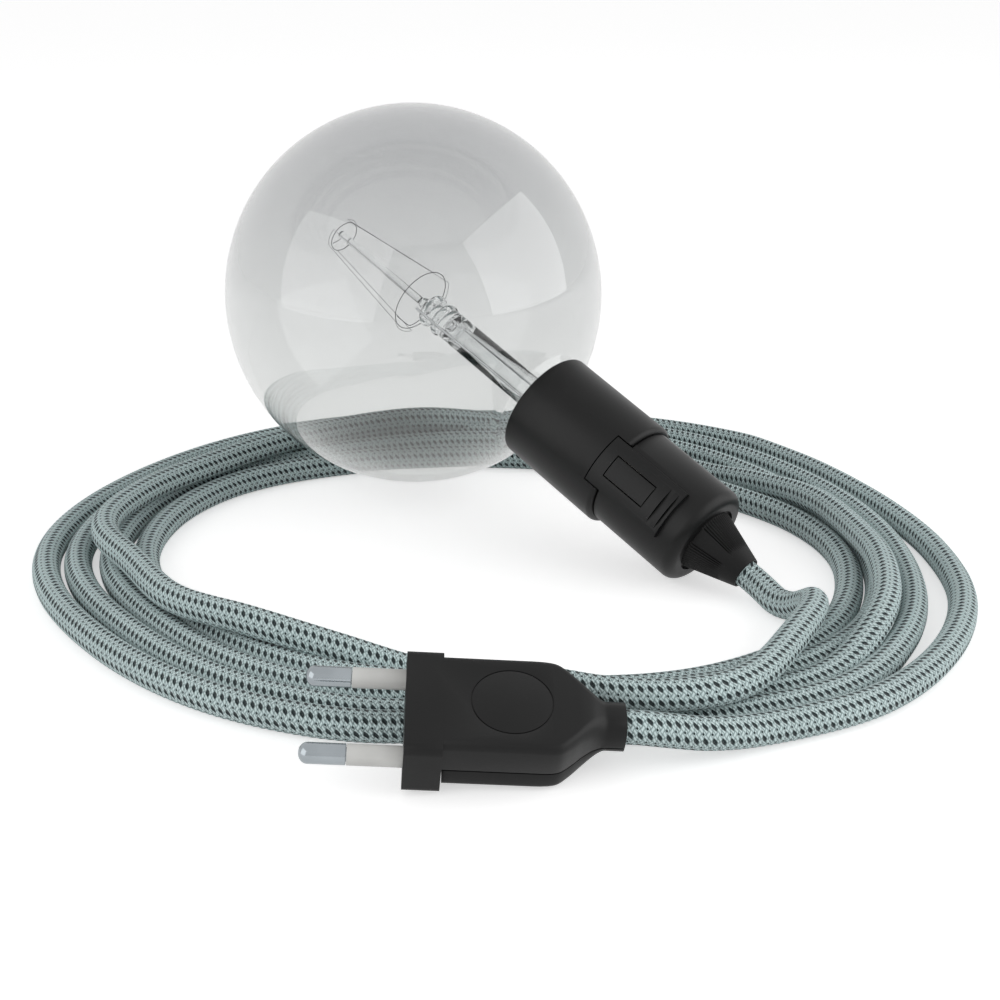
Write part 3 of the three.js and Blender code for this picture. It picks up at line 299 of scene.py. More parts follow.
def braided_yarn():
    """Whitish yarns crossing on a slant, with painted shade in the gaps between them, and a dark yarn that comes up
    once in each repeat.
    """
    material, tree, shader = new_material("braided_yarn")
    link = tree.links.new
    sums = Sums(tree)
    coords = tree.nodes.new("ShaderNodeTexCoord")
    split = tree.nodes.new("ShaderNodeSeparateXYZ")
    link(coords.outputs["UV"], split.inputs[0])
    rows = split.outputs["Y"]
    along = sums("ADD", split.outputs["X"], sums("MULTIPLY", rows, LEAN))

    def from_middle(value):
        return sums("SUBTRACT", sums("FRACT", value), 0.5)

    def share(value, half):
        return sums("POWER", sums("ABSOLUTE", sums("DIVIDE", value, half)), 1.3)

    def spot(shift_along, shift_row, half_long, half_round, slant):
        """A dark yarn where it comes up, between an oblong and an oval in outline."""
        row = from_middle(sums("ADD", rows, shift_row))
        place = sums("MULTIPLY_ADD", row, slant, from_middle(sums("ADD", along, shift_along)))
        reach = sums("ADD", share(place, half_long), share(row, half_round))
        ramp = tree.nodes.new("ShaderNodeMapRange")
        ramp.interpolation_type = "SMOOTHSTEP"
        ramp.inputs["From Min"].default_value = 0.75
        ramp.inputs["From Max"].default_value = 1.2
        ramp.inputs["To Min"].default_value = 1
        ramp.inputs["To Max"].default_value = 0
        link(reach, ramp.inputs["Value"])
        return ramp.outputs["Result"]

    dark = sums("MAXIMUM", spot(0, 0, 0.31, 0.28, -0.6), spot(-0.3, 0.5, 0.13, 0.1, 0.0))

    # two sets of yarns on opposite slants
    steep = sums("SINE", sums("MULTIPLY", sums("ADD", along, rows), 2 * math.pi))
    shallow = sums("SINE", sums("MULTIPLY", sums("SUBTRACT", along, rows), 2 * math.pi))
    over = sums("GREATER_THAN", sums("MULTIPLY", steep, shallow), 0)
    height = sums("ADD", sums("MULTIPLY", sums("ABSOLUTE", steep), over),
                  sums("MULTIPLY", sums("ABSOLUTE", shallow), sums("SUBTRACT", 1, over)))
    fibres = tree.nodes.new("ShaderNodeTexNoise")
    fibres.inputs["Scale"].default_value = 3500
    fibres.inputs["Detail"].default_value = 2
    link(coords.outputs["Object"], fibres.inputs["Vector"])
    patches = tree.nodes.new("ShaderNodeTexNoise")
    patches.inputs["Scale"].default_value = 40
    link(coords.outputs["Object"], patches.inputs["Vector"])

    # The yarns run from whitish at their tops to dark teal where they dip between crossings: painted shade in the
    # gaps of the weave.
    pale_yarn_and_gap_shade = tree.nodes.new("ShaderNodeMix")
    pale_yarn_and_gap_shade.data_type = "RGBA"
    pale_yarn_and_gap_shade.inputs["A"].default_value = (0.17, 0.26, 0.265, 1)
    pale_yarn_and_gap_shade.inputs["B"].default_value = (0.76, 0.90, 0.90, 1)
    fuzz = sums("MULTIPLY_ADD", fibres.outputs["Fac"], 0.4, -0.2)
    link(sums("MULTIPLY_ADD", height, 0.9, fuzz), pale_yarn_and_gap_shade.inputs["Factor"])
    tone = tree.nodes.new("ShaderNodeHueSaturation")
    link(pale_yarn_and_gap_shade.outputs["Result"], tone.inputs["Color"])
    link(sums("MULTIPLY_ADD", patches.outputs["Fac"], 0.2, 0.9), tone.inputs["Value"])
    colour = tree.nodes.new("ShaderNodeMix")
    colour.data_type = "RGBA"
    colour.inputs["B"].default_value = (0.006, 0.018, 0.020, 1)
    link(dark, colour.inputs["Factor"])
    link(tone.outputs["Color"], colour.inputs["A"])
    link(colour.outputs["Result"], shader.inputs["Base Color"])
    shader.inputs["Roughness"].default_value = 0.85
    shader.inputs["Sheen Weight"].default_value = 0.15
    relief = sums("SUBTRACT", sums("MULTIPLY_ADD", fibres.outputs["Fac"], 0.25, height),
                  sums("MULTIPLY", dark, 0.7))
    link(bump(tree, relief, 0.00022, 1.0), shader.inputs["Normal"])
    return material


BLACK_PLASTIC = moulded("black_moulded_plastic", (0.0065, 0.0066, 0.0066), 0.38, shine=0.22)
DARK_RUBBER = moulded("dark_rubber", (0.0055, 0.0055, 0.0055), 0.5, 0.4, 0.00003, shine=0.2)
CERAMIC = moulded("glazed_ceramic", (0.80, 0.77, 0.69), 0.3, 0.6, 0.00002, 0.05)
SLEEVE = moulded("milky_sleeve", (0.62, 0.62, 0.60), 0.3, 0.5, 0.00001, 0.06)
SHEATH = moulded("cord_sheath", (0.78, 0.78, 0.75), 0.45, 0.5)
BROWN_CORE = moulded("brown_core", (0.15, 0.05, 0.02), 0.45, 0.5)
BLUE_CORE = moulded("blue_core", (0.03, 0.12, 0.34), 0.45, 0.5)
BLACK_GLASS = moulded("black_cap_glass", (0.01, 0.01, 0.013), 0.08, 0.8, 0.000004, 0.03)
NICKEL = metal("nickel_plate", (0.33, 0.36, 0.38), 0.16)
BRASS = metal("brass", (0.78, 0.58, 0.26), 0.28)
STEEL = metal("steel", (0.56, 0.57, 0.58), 0.32)
TUNGSTEN = metal("tungsten_wire", (0.16, 0.16, 0.165), 0.4)
# The tint at the top is dimmer than at the foot: painted shade towards the top of the globe and of the stem.
GLOBE_GLASS = clear_glass("globe_glass", (0.63, 0.635, 0.64), (0.87, 0.88, 0.87))
STEM_GLASS = clear_glass("stem_glass", (0.93, 0.94, 0.94), (0.95, 0.96, 0.96))
YARN = braided_yarn()


# Making pieces

def make_piece(name, points, faces, material, place=None, sharp=35, uvs=None):
    """A piece from points in millimetres, put in its place and smoothed but for edges sharper than the angle."""
    if place is None:
        place = Matrix.Identity(4)
    mesh = bpy.data.meshes.new(name)
    mesh.from_pydata([(place @ Vector(p)) * MM for p in points], [], faces)
    if uvs is not None:
        layer = mesh.uv_layers.new(name="braid")
        layer.data.foreach_set("uv", np.asarray(uvs, dtype=np.float32).ravel())
    mesh.materials.append(material)
    piece = bpy.data.objects.new(name, mesh)
    bpy.context.scene.collection.objects.link(piece)
    smooth(piece, sharp)
    return piece


def smooth(piece, sharp=35):
    mesh = piece.data
    mesh.polygons.foreach_set("use_smooth", [True] * len(mesh.polygons))
    mesh.set_sharp_from_angle(angle=math.radians(sharp))
    mesh.update()


def finish_piece(piece, *nodes):
    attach(piece, "root")
    if nodes:
        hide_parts(*nodes)
    return piece


def lathe(outline, sides, closed=True):
    """Points and faces of an outline of (radius, z) turned round z. A radius of 0 becomes one point."""
    points, rings = [], []
    for radius, z in outline:
        if radius == 0:
            rings.append([len(points)] * sides)
            points.append((0, 0, z))
            continue
        rings.append(list(range(len(points), len(points) + sides)))
        for i in range(sides):
            angle = 2 * math.pi * i / sides
            points.append((radius * math.cos(angle), radius * math.sin(angle), z))
    pairs = list(zip(rings, rings[1:]))
    if closed:
        pairs.append((rings[-1], rings[0]))
    faces = []
    for lower, upper in pairs:
        for i in range(sides):
            j = (i + 1) % sides
            corners = [lower[i], lower[j], upper[j], upper[i]]
            face = [c for k, c in enumerate(corners) if c != corners[k - 1]]
            if len(set(face)) >= 3:
                faces.append(face)
    return points, faces


def arc(radius, start, end, steps, centre=(0, 0)):
    angles = [math.radians(start + (end - start) * i / steps) for i in range(steps + 1)]
    return [(centre[0] + radius * math.cos(a), centre[1] + radius * math.sin(a)) for a in angles]


def round_corner(before, corner, after, radius, steps=3):
    """The points of a small round in place of the corner between two neighbours."""
    before, corner, after = Vector(before), Vector(corner), Vector(after)
    to_before, to_after = before - corner, after - corner
    reach = min(radius, to_before.length * 0.4, to_after.length * 0.4)
    start = corner + to_before.normalized() * reach
    end = corner + to_after.normalized() * reach
    shares = [k / steps for k in range(steps + 1)]
    return [tuple(start.lerp(corner, t).lerp(corner.lerp(end, t), t)) for t in shares]


def rounded(outline, radius):
    """The closed outline with each of its corners cut to a small round, but for those on the axis."""
    result = []
    for i, corner in enumerate(outline):
        if corner[0] == 0:
            result.append(corner)
        else:
            result += round_corner(outline[i - 1], corner, outline[(i + 1) % len(outline)], radius)
    return result


def turned(name, outline, sides, material, place, sharp=35, closed=True):
    points, faces = lathe(outline, sides, closed)
    return make_piece(name, points, faces, material, place, sharp)


def curve_points(controls, step):
    """A smooth line through the control points, as points about a step apart."""
    points = np.array(controls, dtype=float)
    gaps = np.sqrt(np.linalg.norm(np.diff(points, axis=0), axis=1))
    knots = np.concatenate([[0], np.cumsum(gaps)])
    slopes = np.empty_like(points)
    secants = np.diff(points, axis=0) / gaps[:, None]
    slopes[0], slopes[-1] = secants[0], secants[-1]
    share = gaps[:-1] / (gaps[:-1] + gaps[1:])
    slopes[1:-1] = secants[:-1] * (1 - share)[:, None] + secants[1:] * share[:, None]
    dense = []
    for i, gap in enumerate(gaps):
        length = np.linalg.norm(points[i + 1] - points[i])
        count = max(2, int(math.ceil(length / (step / 4))))
        t = (np.arange(count) / count)[:, None]
        dense.append(eased(t, gap, points[i], points[i + 1], slopes[i], slopes[i + 1]))
    dense.append(points[-1:])
    dense = np.concatenate(dense)
    lengths = np.concatenate([[0], np.cumsum(np.linalg.norm(np.diff(dense, axis=0), axis=1))])
    count = int(round(lengths[-1] / step)) + 1
    places = np.linspace(0, lengths[-1], count)
    return np.stack([np.interp(places, lengths, dense[:, k]) for k in range(3)], axis=1)


def travelling_frames(path):
    """Two directions square to the path at each of its points, which turn with it and don't twist."""
    tangents = np.gradient(path, axis=0)
    tangents /= np.linalg.norm(tangents, axis=1)[:, None]
    side = np.cross(tangents[0], [0, 0, 1])
    side /= np.linalg.norm(side)
    sides = [side]
    for tangent in tangents[1:]:
        side = side - tangent * np.dot(side, tangent)
        side = side / np.linalg.norm(side)
        sides.append(side)
    sides = np.array(sides)
    return sides, np.cross(tangents, sides)


def joined_rings(rings, count):
    """The faces of a tube of so many rings of count points, closed at both ends."""
    faces = []
    for k in range(rings - 1):
        for i in range(count):
            j = (i + 1) % count
            faces.append((k * count + i, k * count + j, (k + 1) * count + j, (k + 1) * count + i))
    faces.append(tuple(reversed(range(count))))
    faces.append(tuple(range((rings - 1) * count, rings * count)))
    return faces


def wire_piece(name, controls, radius, sides, step, material, place):
    path = curve_points(controls, step)
    across, up = travelling_frames(path)
    points = []
    for centre, a, b in zip(path, across, up):
        for i in range(sides):
            angle = 2 * math.pi * i / sides
            points.append(tuple(centre + radius * (math.cos(angle) * a + math.sin(angle) * b)))
    return make_piece(name, points, joined_rings(len(path), sides), material, place)


# Cord: the route of the part's solids, in millimetres, moved a little behind the globe and behind the plug.
# The coil is a list of turns, and each turn gives the angle from the front, clockwise from above, the distance
# from the coil's centre and the height of the cord's middle.

COIL_CENTRE = (5.6, -40.5)
LIE = 3.4
COIL_TURNS = [
    [(-53, 84, 10.8), (-48, 85.8, 10.9), (-43, 88, 10.8), (-37, 91.3, 10.4), (-32, 93.9, 10.1), (-27, 95, 10.1),
     (-20, 92.8, 10.1), (-15, 89.8, 10.1), (-10, 85.4, 10), (-4, 80.4, 9.9), (2, 77.8, 8.8), (8, 77.6, 6.2),
     (16, 79.2, LIE), (30, 81.6, LIE), (60, 86, LIE), (90, 95, LIE), (120, 95.5, LIE), (150, 86.5, LIE),
     (180, 83, LIE), (210, 81, LIE), (225, 80, LIE), (240, 81, 6.2), (255, 84, 8.9), (270, 87, 9.4),
     (285, 91.5, 10.1), (300, 95.4, 8.7), (315, 94.8, LIE), (330, 89, LIE), (345, 84, LIE)],
    [(0, 81.6, LIE), (8, 83.6, LIE), (16, 86, LIE), (30, 88.3, LIE), (60, 93, LIE), (90, 103.5, LIE),
     (120, 103.5, LIE), (150, 97, LIE), (180, 92.5, LIE), (210, 91.5, LIE), (240, 88, LIE), (270, 90.2, LIE),
     (285, 91.4, LIE), (300, 91.6, LIE), (315, 88.4, LIE), (330, 82.9, LIE), (340, 79, LIE), (350, 75.4, LIE)],
    [(0, 72, LIE), (15, 72.4, LIE), (30, 74.9, LIE), (60, 79.4, LIE), (90, 87, LIE), (120, 87.5, LIE),
     (150, 76.8, LIE), (165, 72.4, LIE), (180, 70.5, LIE), (210, 70.5, LIE), (240, 73.5, LIE), (255, 79, LIE),
     (270, 83, LIE), (285, 84.5, LIE), (300, 85, LIE), (308, 84.6, LIE), (315, 83.2, LIE), (330, 80.3, LIE),
     (345, 75.6, LIE)],
    [(0, 70, LIE), (15, 66.8, LIE), (30, 69.4, 7), (45, 75.8, 10.1), (60, 83, 9.8), (75, 87.5, 10),
     (90, 97, 10.2), (105, 95.5, 10.2), (120, 91.5, 9.8), (135, 89.5, 10.1), (150, 90, 9.7), (165, 90, 9.6),
     (180, 96.5, 5), (195, 98.5, LIE), (210, 99.6, LIE), (240, 97.2, LIE), (270, 97.4, LIE), (300, 100.5, LIE),
     (315, 101, LIE), (330, 95.2, LIE), (345, 90, LIE)],
    [(-8, 87.6, LIE), (0, 87.2, LIE), (8, 88.3, LIE), (17, 91.2, LIE), (30, 94, LIE), (60, 100.5, LIE),
     (90, 111, LIE), (120, 111, LIE), (150, 109, LIE), (165, 105.5, LIE), (180, 103.3, LIE), (195, 105, LIE),
     (210, 107.5, LIE), (225, 109, LIE)],
]
LAMP_LEAD = [
    (67.4, -65.2, 3.8), (69.2, -70.2, 3.5), (71.8, -75.2, 4.7), (73.6, -79.6, 7.4), (74.2, -84.3, 10),
]
PLUG_LEAD = [
    (84.4, 32.7, 3.4), (95.4, 15.6, 3.4), (107.4, -13.3, 3.4), (113.1, -40.5, 3.4), (111.9, -69, 3.4),
    (100.9, -95.5, 3.4), (82, -116.9, 3.4), (57.3, -129.4, 3.8), (45.5, -134.6, 5.6), (37.5, -136.3, 7.2),
]
STRAIGHT = 3
# The tube has so many rings in a repeat of the braid and so many sides in a row, and lies lower at a dark yarn
YARN_STEPS = 3
DARK_YARN_DEPTH = 0.22
DARK_YARN_SPREAD = 0.22


def coil_line():
    """The turns, every 5 degrees, eased between the places that the table gives."""
    table = np.array([(angle + 360 * k, radius, height)
                      for k, places in enumerate(COIL_TURNS) for angle, radius, height in places], dtype=float)
    angles = table[:, 0]
    slopes = np.gradient(table, angles, axis=0)
    line = []
    for angle in np.arange(angles[0], angles[-1] + 0.1, 5):
        _, radius, height = eased_row(angle, angles, table, slopes)
        direction = math.radians(-90 - angle)
        line.append((COIL_CENTRE[0] + radius * math.cos(direction),
                     COIL_CENTRE[1] + radius * math.sin(direction), max(height, LIE)))
    return line


def on_lamp_axis(distance):
    return tuple(lamp_place @ Vector((0, 0, distance)))


def on_plug_axis(distance):
    return tuple(plug_place @ Vector((distance, 0, 0)))


def make_cord():
    """One tube the whole way. Its rings and sides fall on the braid's repeats, so the dark yarns can lie lower."""
    controls = [on_lamp_axis(BOOT_END - GAP), on_lamp_axis(BOOT_END + STRAIGHT), *LAMP_LEAD, *coil_line(),
                *PLUG_LEAD, on_plug_axis(PLUG_LENGTH + STRAIGHT), on_plug_axis(PLUG_LENGTH + GAP)]
    path = curve_points(controls, BRAID_PITCH / YARN_STEPS)
    for _ in range(6):
        path[1:-1] = (path[:-2] + 2 * path[1:-1] + path[2:]) / 4
    across, up = travelling_frames(path)
    sides = ROWS * YARN_STEPS
    angle = 2 * np.pi * np.arange(sides) / sides
    ring = np.arange(len(path))[:, None]
    side = np.arange(sides)[None, :]
    repeat = ring / YARN_STEPS + LEAN * (side / YARN_STEPS)
    beside = np.where(side % YARN_STEPS == 1, 1.0, 0.25)
    low = np.exp(-((repeat % 1 - 0.5) / DARK_YARN_SPREAD) ** 2) * beside
    radii = CORD_DIAMETER / 2 * 0.995 - DARK_YARN_DEPTH * low
    points = (path[:, None, :] + radii[:, :, None] * (np.cos(angle)[None, :, None] * across[:, None, :]
                                                      + np.sin(angle)[None, :, None] * up[:, None, :]))
    uvs = []
    for a in range(len(path) - 1):
        start, end = a / YARN_STEPS, (a + 1) / YARN_STEPS
        for b in range(sides):
            left, right = (b + 0.5) / YARN_STEPS, (b + 1.5) / YARN_STEPS
            uvs += [(start, left), (start, right), (end, right), (end, left)]
    uvs += [(0.25, 0.25)] * (2 * sides)
    cord = make_piece("braided_cord", points.reshape(-1, 3).tolist(), joined_rings(len(path), sides), YARN,
                      sharp=60, uvs=uvs)
    finish_piece(cord, "cord_lamp_lead", "cord_coil", "cord_plug_lead")
    return cord, path


cord, cord_path = make_cord()
cord_length = float(np.linalg.norm(np.diff(cord_path, axis=0), axis=1).sum()) * MM


# Bulb

def make_globe():
    """Blown in one with its neck, which narrows inside the holder to the foot of the stem."""
    neck_points = [(13.4, 48.4), (12.5, 50.2), (11.9, 51.8), (11.6, 53.6), (11.6, 57), (11.0, 58.4),
                   (9.6, 59.6), (7.6, 60.8), (6.3, 61.8), (6, 63), (6, 64)]
    outer = [(max(r, 0), z) for r, z in arc(GLOBE_RADIUS, -90, 74, 72)] + neck_points
    outer[0] = (0, -GLOBE_RADIUS)
    inner = arc(GLOBE_RADIUS - GLOBE_WALL, -90, 74, 72) + [(r - GLOBE_WALL, z) for r, z in neck_points]
    inner[0] = (0, GLOBE_WALL - GLOBE_RADIUS)
    globe = turned("blown_globe", outer + inner[::-1], 144, GLOBE_GLASS, lamp_place, 60, closed=False)
    finish_piece(globe, "bulb_globe")


def make_stem():
    """A tube that widens towards the holder, with a nose and two collars at its tip, and the rod before it."""
    bell, foot, straight_end = 4.8, 63.5, 50
    wall = 0.7
    nose, collar_middle, collar_round = 1.6, 3.4, 1.2
    outer = [(0, STEM_TIP - 9), (nose - 0.4, STEM_TIP - 8.9), (nose, STEM_TIP - 8.2), (nose, STEM_TIP - 6),
             *arc(collar_round, -150, 150, 10, (collar_middle, STEM_TIP - 4.4)), (nose + 1, STEM_TIP - 2.4),
             *arc(collar_round, -150, 60, 10, (collar_middle, STEM_TIP)),
             (STEM_RADIUS, STEM_TIP + 2), (STEM_RADIUS, straight_end), (bell, 58), (bell, foot)]
    inner = [(bell - wall, foot), (bell - wall, 58.4), (STEM_RADIUS - wall, straight_end),
             (STEM_RADIUS - wall, STEM_TIP + 4), (2.2, STEM_TIP + 2.6), (0, STEM_TIP + 2.2)]
    stem = turned("glass_stem", outer + inner, 48, STEM_GLASS, lamp_place, 50, closed=False)
    finish_piece(stem, "bulb_stem")
    rod_outline = [(0, ROD_TIP), (ROD_RADIUS, ROD_TIP), (ROD_RADIUS, ROD_END), (0, ROD_END)]
    rod = turned("glass_rod", rounded(rod_outline, 0.4), 24, STEM_GLASS, lamp_place, 50,
                 closed=False)
    finish_piece(rod, "bulb_rod")


def on_ring(radius, angle, z):
    return (radius * math.cos(math.radians(angle)), radius * math.sin(math.radians(angle)), z)


def make_hoops():
    for name, node, (radius, place) in (("small_wire_hoop", "small_hoop", SMALL_HOOP),
                                        ("big_wire_hoop", "big_hoop", BIG_HOOP)):
        ring = turned(name, arc(HOOP_WIRE, 0, 360, 10, (radius, place))[:-1], 96, TUNGSTEN, lamp_place, 60)
        finish_piece(ring, node)


def make_hoop_arms():
    """A short wire from the rod to the small hoop, and one from the stem's collar up and out to the big hoop."""
    reach = 2 * HOOP_WIRE + GAP
    for name, node, start, (radius, place), line in (
            ("small_hoop_wire", "small_hoop_arm", ROD_RADIUS + GAP, SMALL_HOOP, ((0, 0), (0.5, HOOP_WIRE), (1, 0))),
            ("big_hoop_wire", "big_hoop_arm", COLLAR_RADIUS + GAP, BIG_HOOP,
             ((0, 5.1), (0.6, 5.1), (0.85, 4.9), (0.97, 4.4), (1, 3.6), (1, 0)))):
        end = radius - reach
        controls = [on_ring(start + (end - start) * share, HOOP_ARM_TURN, place + rise) for share, rise in line]
        wire = wire_piece(name, controls, HOOP_WIRE, 10, 0.25, TUNGSTEN, lamp_place)
        finish_piece(wire, node)


def make_filament():
    """One wire that runs up and down between the hoops and follows them from each run to the next."""
    clear = 0.6
    pitch = 360 / FILAMENT_RUNS
    low = (BIG_HOOP[0] + clear, BIG_HOOP[1] + clear)
    high = (SMALL_HOOP[0] + clear, SMALL_HOOP[1] - clear)
    controls = []
    for i in range(FILAMENT_RUNS):
        start, end = (low, high) if i % 2 == 0 else (high, low)
        for share in (0.0, 0.02, 0.1, 0.5, 0.9, 0.98, 1.0):
            controls.append(on_ring(start[0] + (end[0] - start[0]) * share, pitch * i,
                                    start[1] + (end[1] - start[1]) * share))
        if i < FILAMENT_RUNS - 1:
            controls += [on_ring(end[0], pitch * (i + share), end[1]) for share in (0.1, 0.3, 0.5, 0.7, 0.9)]
    wire = wire_piece("filament_wire", controls, FILAMENT_WIRE, 8, 0.5, TUNGSTEN, lamp_place)
    finish_piece(wire, "filament")


make_globe()
make_stem()
make_hoops()
make_hoop_arms()
make_filament()


# Cutting and joining

def box_points(x, y, z):
    points = [(a, b, c) for a in x for b in y for c in z]
    faces = [(0, 1, 3, 2), (4, 6, 7, 5), (0, 4, 5, 1), (2, 3, 7, 6), (0, 2, 6, 4), (1, 5, 7, 3)]
    return points, faces


def prism(section, low, high, upright=True):
    """A closed outline drawn out between two heights, or, when it isn't upright, along x."""
    count = len(section)
    points = [(a, b, c) if upright else (c, a, b) for c in (low, high) for a, b in section]
    faces = [tuple(reversed(range(count))), tuple(range(count, 2 * count))]
    faces += [(i, (i + 1) % count, count + (i + 1) % count, count + i) for i in range(count)]
    return points, faces


def rod_points(radius, low, high, sides, turned_to=Matrix.Identity(4)):
    points, faces = prism(arc(radius, 0, 360, sides)[:-1], low, high)
    return [tuple(turned_to @ Vector(p)) for p in points], faces


def rounded_rectangle(width, height, corner, middle=(0, 0), steps=8):
    u, v = width / 2 - corner, height / 2 - corner
    corners = ((u, v, 0), (-u, v, 90), (-u, -v, 180), (u, -v, 270))
    return [point for x, y, start in corners
            for point in arc(corner, start, start + 90, steps, (middle[0] + x, middle[1] + y))]


def use_solid(piece, solid, operation, place):
    """Joins or cuts a solid of points and faces into the piece, and throws the solid away."""
    points, faces = solid
    mesh = bpy.data.meshes.new("tool")
    mesh.from_pydata([(place @ Vector(p)) * MM for p in points], [], faces)
    tool = bpy.data.objects.new("tool", mesh)
    bpy.context.scene.collection.objects.link(tool)
    boolean = piece.modifiers.new("tool", "BOOLEAN")
    boolean.operation = operation
    boolean.solver = "MANIFOLD"
    boolean.object = tool
    apply_modifiers(piece)
    bpy.data.objects.remove(tool)


def apply_modifiers(piece):
    bpy.context.view_layer.update()
    shaped = piece.evaluated_get(bpy.context.evaluated_depsgraph_get())
    mesh = bpy.data.meshes.new_from_object(shaped)
    piece.modifiers.clear()
    old = piece.data
    piece.data = mesh
    bpy.data.meshes.remove(old)


def soften_edges(piece, width, angle=38, segments=2):
    bevel = piece.modifiers.new("edges", "BEVEL")
    bevel.width = width * MM
    bevel.segments = segments
    bevel.limit_method = "ANGLE"
    bevel.angle_limit = math.radians(angle)
    apply_modifiers(piece)
    smooth(piece, 32)


# Lamp holder

def make_skirt():
    end_round = arc(SKIRT_ROUND, 0, 80, 8, (SKIRT_RADIUS - SKIRT_ROUND, SKIRT_END - SKIRT_ROUND))
    lip = round_corner((SKIRT_BORE, SKIRT_START), (SKIRT_RADIUS, SKIRT_START), (SKIRT_RADIUS, SKIRT_END), 0.5)
    outline = [(SKIRT_BORE, SKIRT_START), *lip, *end_round, (SKIRT_BORE, SKIRT_END)]
    skirt = turned("front_skirt", outline, 160, BLACK_PLASTIC, lamp_place)
    half = PAD_WIDTH / 2 + GAP
    notch = box_points((0, SKIRT_RADIUS + 1), (-half, half), (PAD_START - GAP, SKIRT_END + 1))
    use_solid(skirt, notch, "DIFFERENCE", lamp_place)
    soften_edges(skirt, 0.15, 50)
    finish_piece(skirt, "holder_skirt")


def latch_pad():
    half = PAD_WIDTH / 2
    rim = math.degrees(math.asin(half / SKIRT_RADIUS))
    inner = SPIGOT_RADIUS - SPIGOT_WALL / 2
    inner_rim = math.degrees(math.asin(half / inner))
    section = [*arc(SKIRT_RADIUS, -rim, rim, 24), *arc(inner, inner_rim, -inner_rim, 16)]
    return prism(section, PAD_START, PAD_END)


def latch_cuts():
    """The slot round three sides of the tongue, the line on its fourth, and the notches behind it."""
    half = TONGUE_WIDTH / 2
    deep, line, notch = (10.2, 15.3), (SKIRT_RADIUS - 0.5, 15.3), (SHELL_RADIUS + 0.4, 15.3)
    yield box_points(deep, (-half, -half + TONGUE_LINE), (TONGUE_START, TONGUE_END))
    yield box_points(deep, (half - TONGUE_LINE, half), (TONGUE_START, TONGUE_END))
    yield box_points(deep, (-half, half), (TONGUE_START, TONGUE_START + TONGUE_LINE))
    yield box_points(line, (-half, half), (TONGUE_END, TONGUE_END + TONGUE_LINE))
    for place, width in PAD_NOTCHES:
        yield box_points(notch, (-PAD_WIDTH, PAD_WIDTH), (PAD_END - place, PAD_END - place + width))


def make_shell():
    bore = BOOT_STEM_RADIUS + GAP
    spigot_start = SHELL_START - 9
    recess_floor = SHELL_END - END_RECESS
    outline = [(SPIGOT_RADIUS - SPIGOT_WALL, spigot_start), (SPIGOT_RADIUS, spigot_start),
               (SPIGOT_RADIUS, SHELL_START), (SHELL_RADIUS, SHELL_START),
               *arc(SHELL_CORNER, 0, 90, 12, (SHELL_RADIUS - SHELL_CORNER, SHELL_END - SHELL_CORNER)),
               (END_RECESS_RADIUS, SHELL_END), (END_RECESS_RADIUS, recess_floor), (bore, recess_floor),
               (bore, SHELL_FLOOR), (10.2, SHELL_FLOOR), (11.2, SHELL_FLOOR - 1)]
    shell = turned("rear_shell", outline, 160, BLACK_PLASTIC, lamp_place)
    use_solid(shell, latch_pad(), "UNION", lamp_place)
    for cut in latch_cuts():
        use_solid(shell, cut, "DIFFERENCE", lamp_place)
    soften_edges(shell, 0.13)
    finish_piece(shell, "holder_shell")


# The ribs, in degrees round the boot, start so far from the smooth band's middle
RIB_PITCH = 5.2
SMOOTH_BAND = 14
RIB_DEPTH = 0.32
RIBBED_SHARE = 0.74


def make_boot():
    """The strain relief: a cone with fine ribs on both its sides, from its base over most of its length."""
    sides = 540
    bore = CORD_DIAMETER / 2 + GAP
    length = BOOT_END - BOOT_START
    stations = [(BOOT_BASE_RADIUS - 0.3, BOOT_START), (BOOT_BASE_RADIUS, BOOT_START + 0.3)]
    steps = 32
    for i in range(steps + 1):
        share = i / steps
        z = BOOT_START + 0.5 + share * (length - 0.9)
        stations.append((BOOT_BASE_RADIUS + (BOOT_TIP_RADIUS - BOOT_BASE_RADIUS) * share, z))
    stations += [(BOOT_TIP_RADIUS - 0.15, BOOT_END), (bore, BOOT_END), (bore, SHELL_FLOOR - 2.3),
                 (BOOT_STEM_RADIUS + 1.6, SHELL_FLOOR - 2.3), (BOOT_STEM_RADIUS + 1.6, SHELL_FLOOR - GAP),
                 (BOOT_STEM_RADIUS, SHELL_FLOOR - GAP), (BOOT_STEM_RADIUS, BOOT_START)]
    points, faces = lathe(stations, sides)
    shaped = []
    for index, (x, y, z) in enumerate(points):
        along = (z - BOOT_START) / (length * RIBBED_SHARE)
        angle = math.degrees(math.atan2(y, x))
        clear = min(abs(angle), 180 - abs(angle)) - SMOOTH_BAND
        if 2 * sides <= index < (steps + 3) * sides and 0.04 < along < 1 and clear > 0:
            wave = 0.5 - 0.5 * math.cos(2 * math.pi * clear / RIB_PITCH)
            sunk = RIB_DEPTH * wave ** 1.5 * min(1, (1 - along) * 5) * min(1, along * 12)
            radius = math.hypot(x, y)
            x, y = x * (1 - sunk / radius), y * (1 - sunk / radius)
        shaped.append((x, y, z))
    boot = make_piece("cord_boot", shaped, faces, DARK_RUBBER, lamp_place, 40)
    finish_piece(boot, "strain_relief")


make_skirt()
make_shell()
make_boot()


# Plug

# How the body narrows to the neck: place along the plug, half its width, half its height, corner round
BODY_LINE = [
    (4, 11.1, 5.8, 1.5), (24, 11.1, 5.8, 1.5), (26, 11.08, 5.8, 1.6), (27.3, 10.98, 5.8, 1.7),
    (28.6, 10.65, 5.8, 1.8), (30.9, 8.9, 5.75, 2.1), (33.2, 6.7, 5.6, 2.5), (35, 5.3, 5.2, 3),
    (36.4, 4.62, 4.6, 3.4), (37.4, 4.4, 4.25, 3.6), (38.4, 4.4, 4.2, 3.6), (PLUG_LENGTH, 4.4, 4.2, 3.6),
]
MARK_PLACE = 19.7
MARK_RADIUS = 7.6


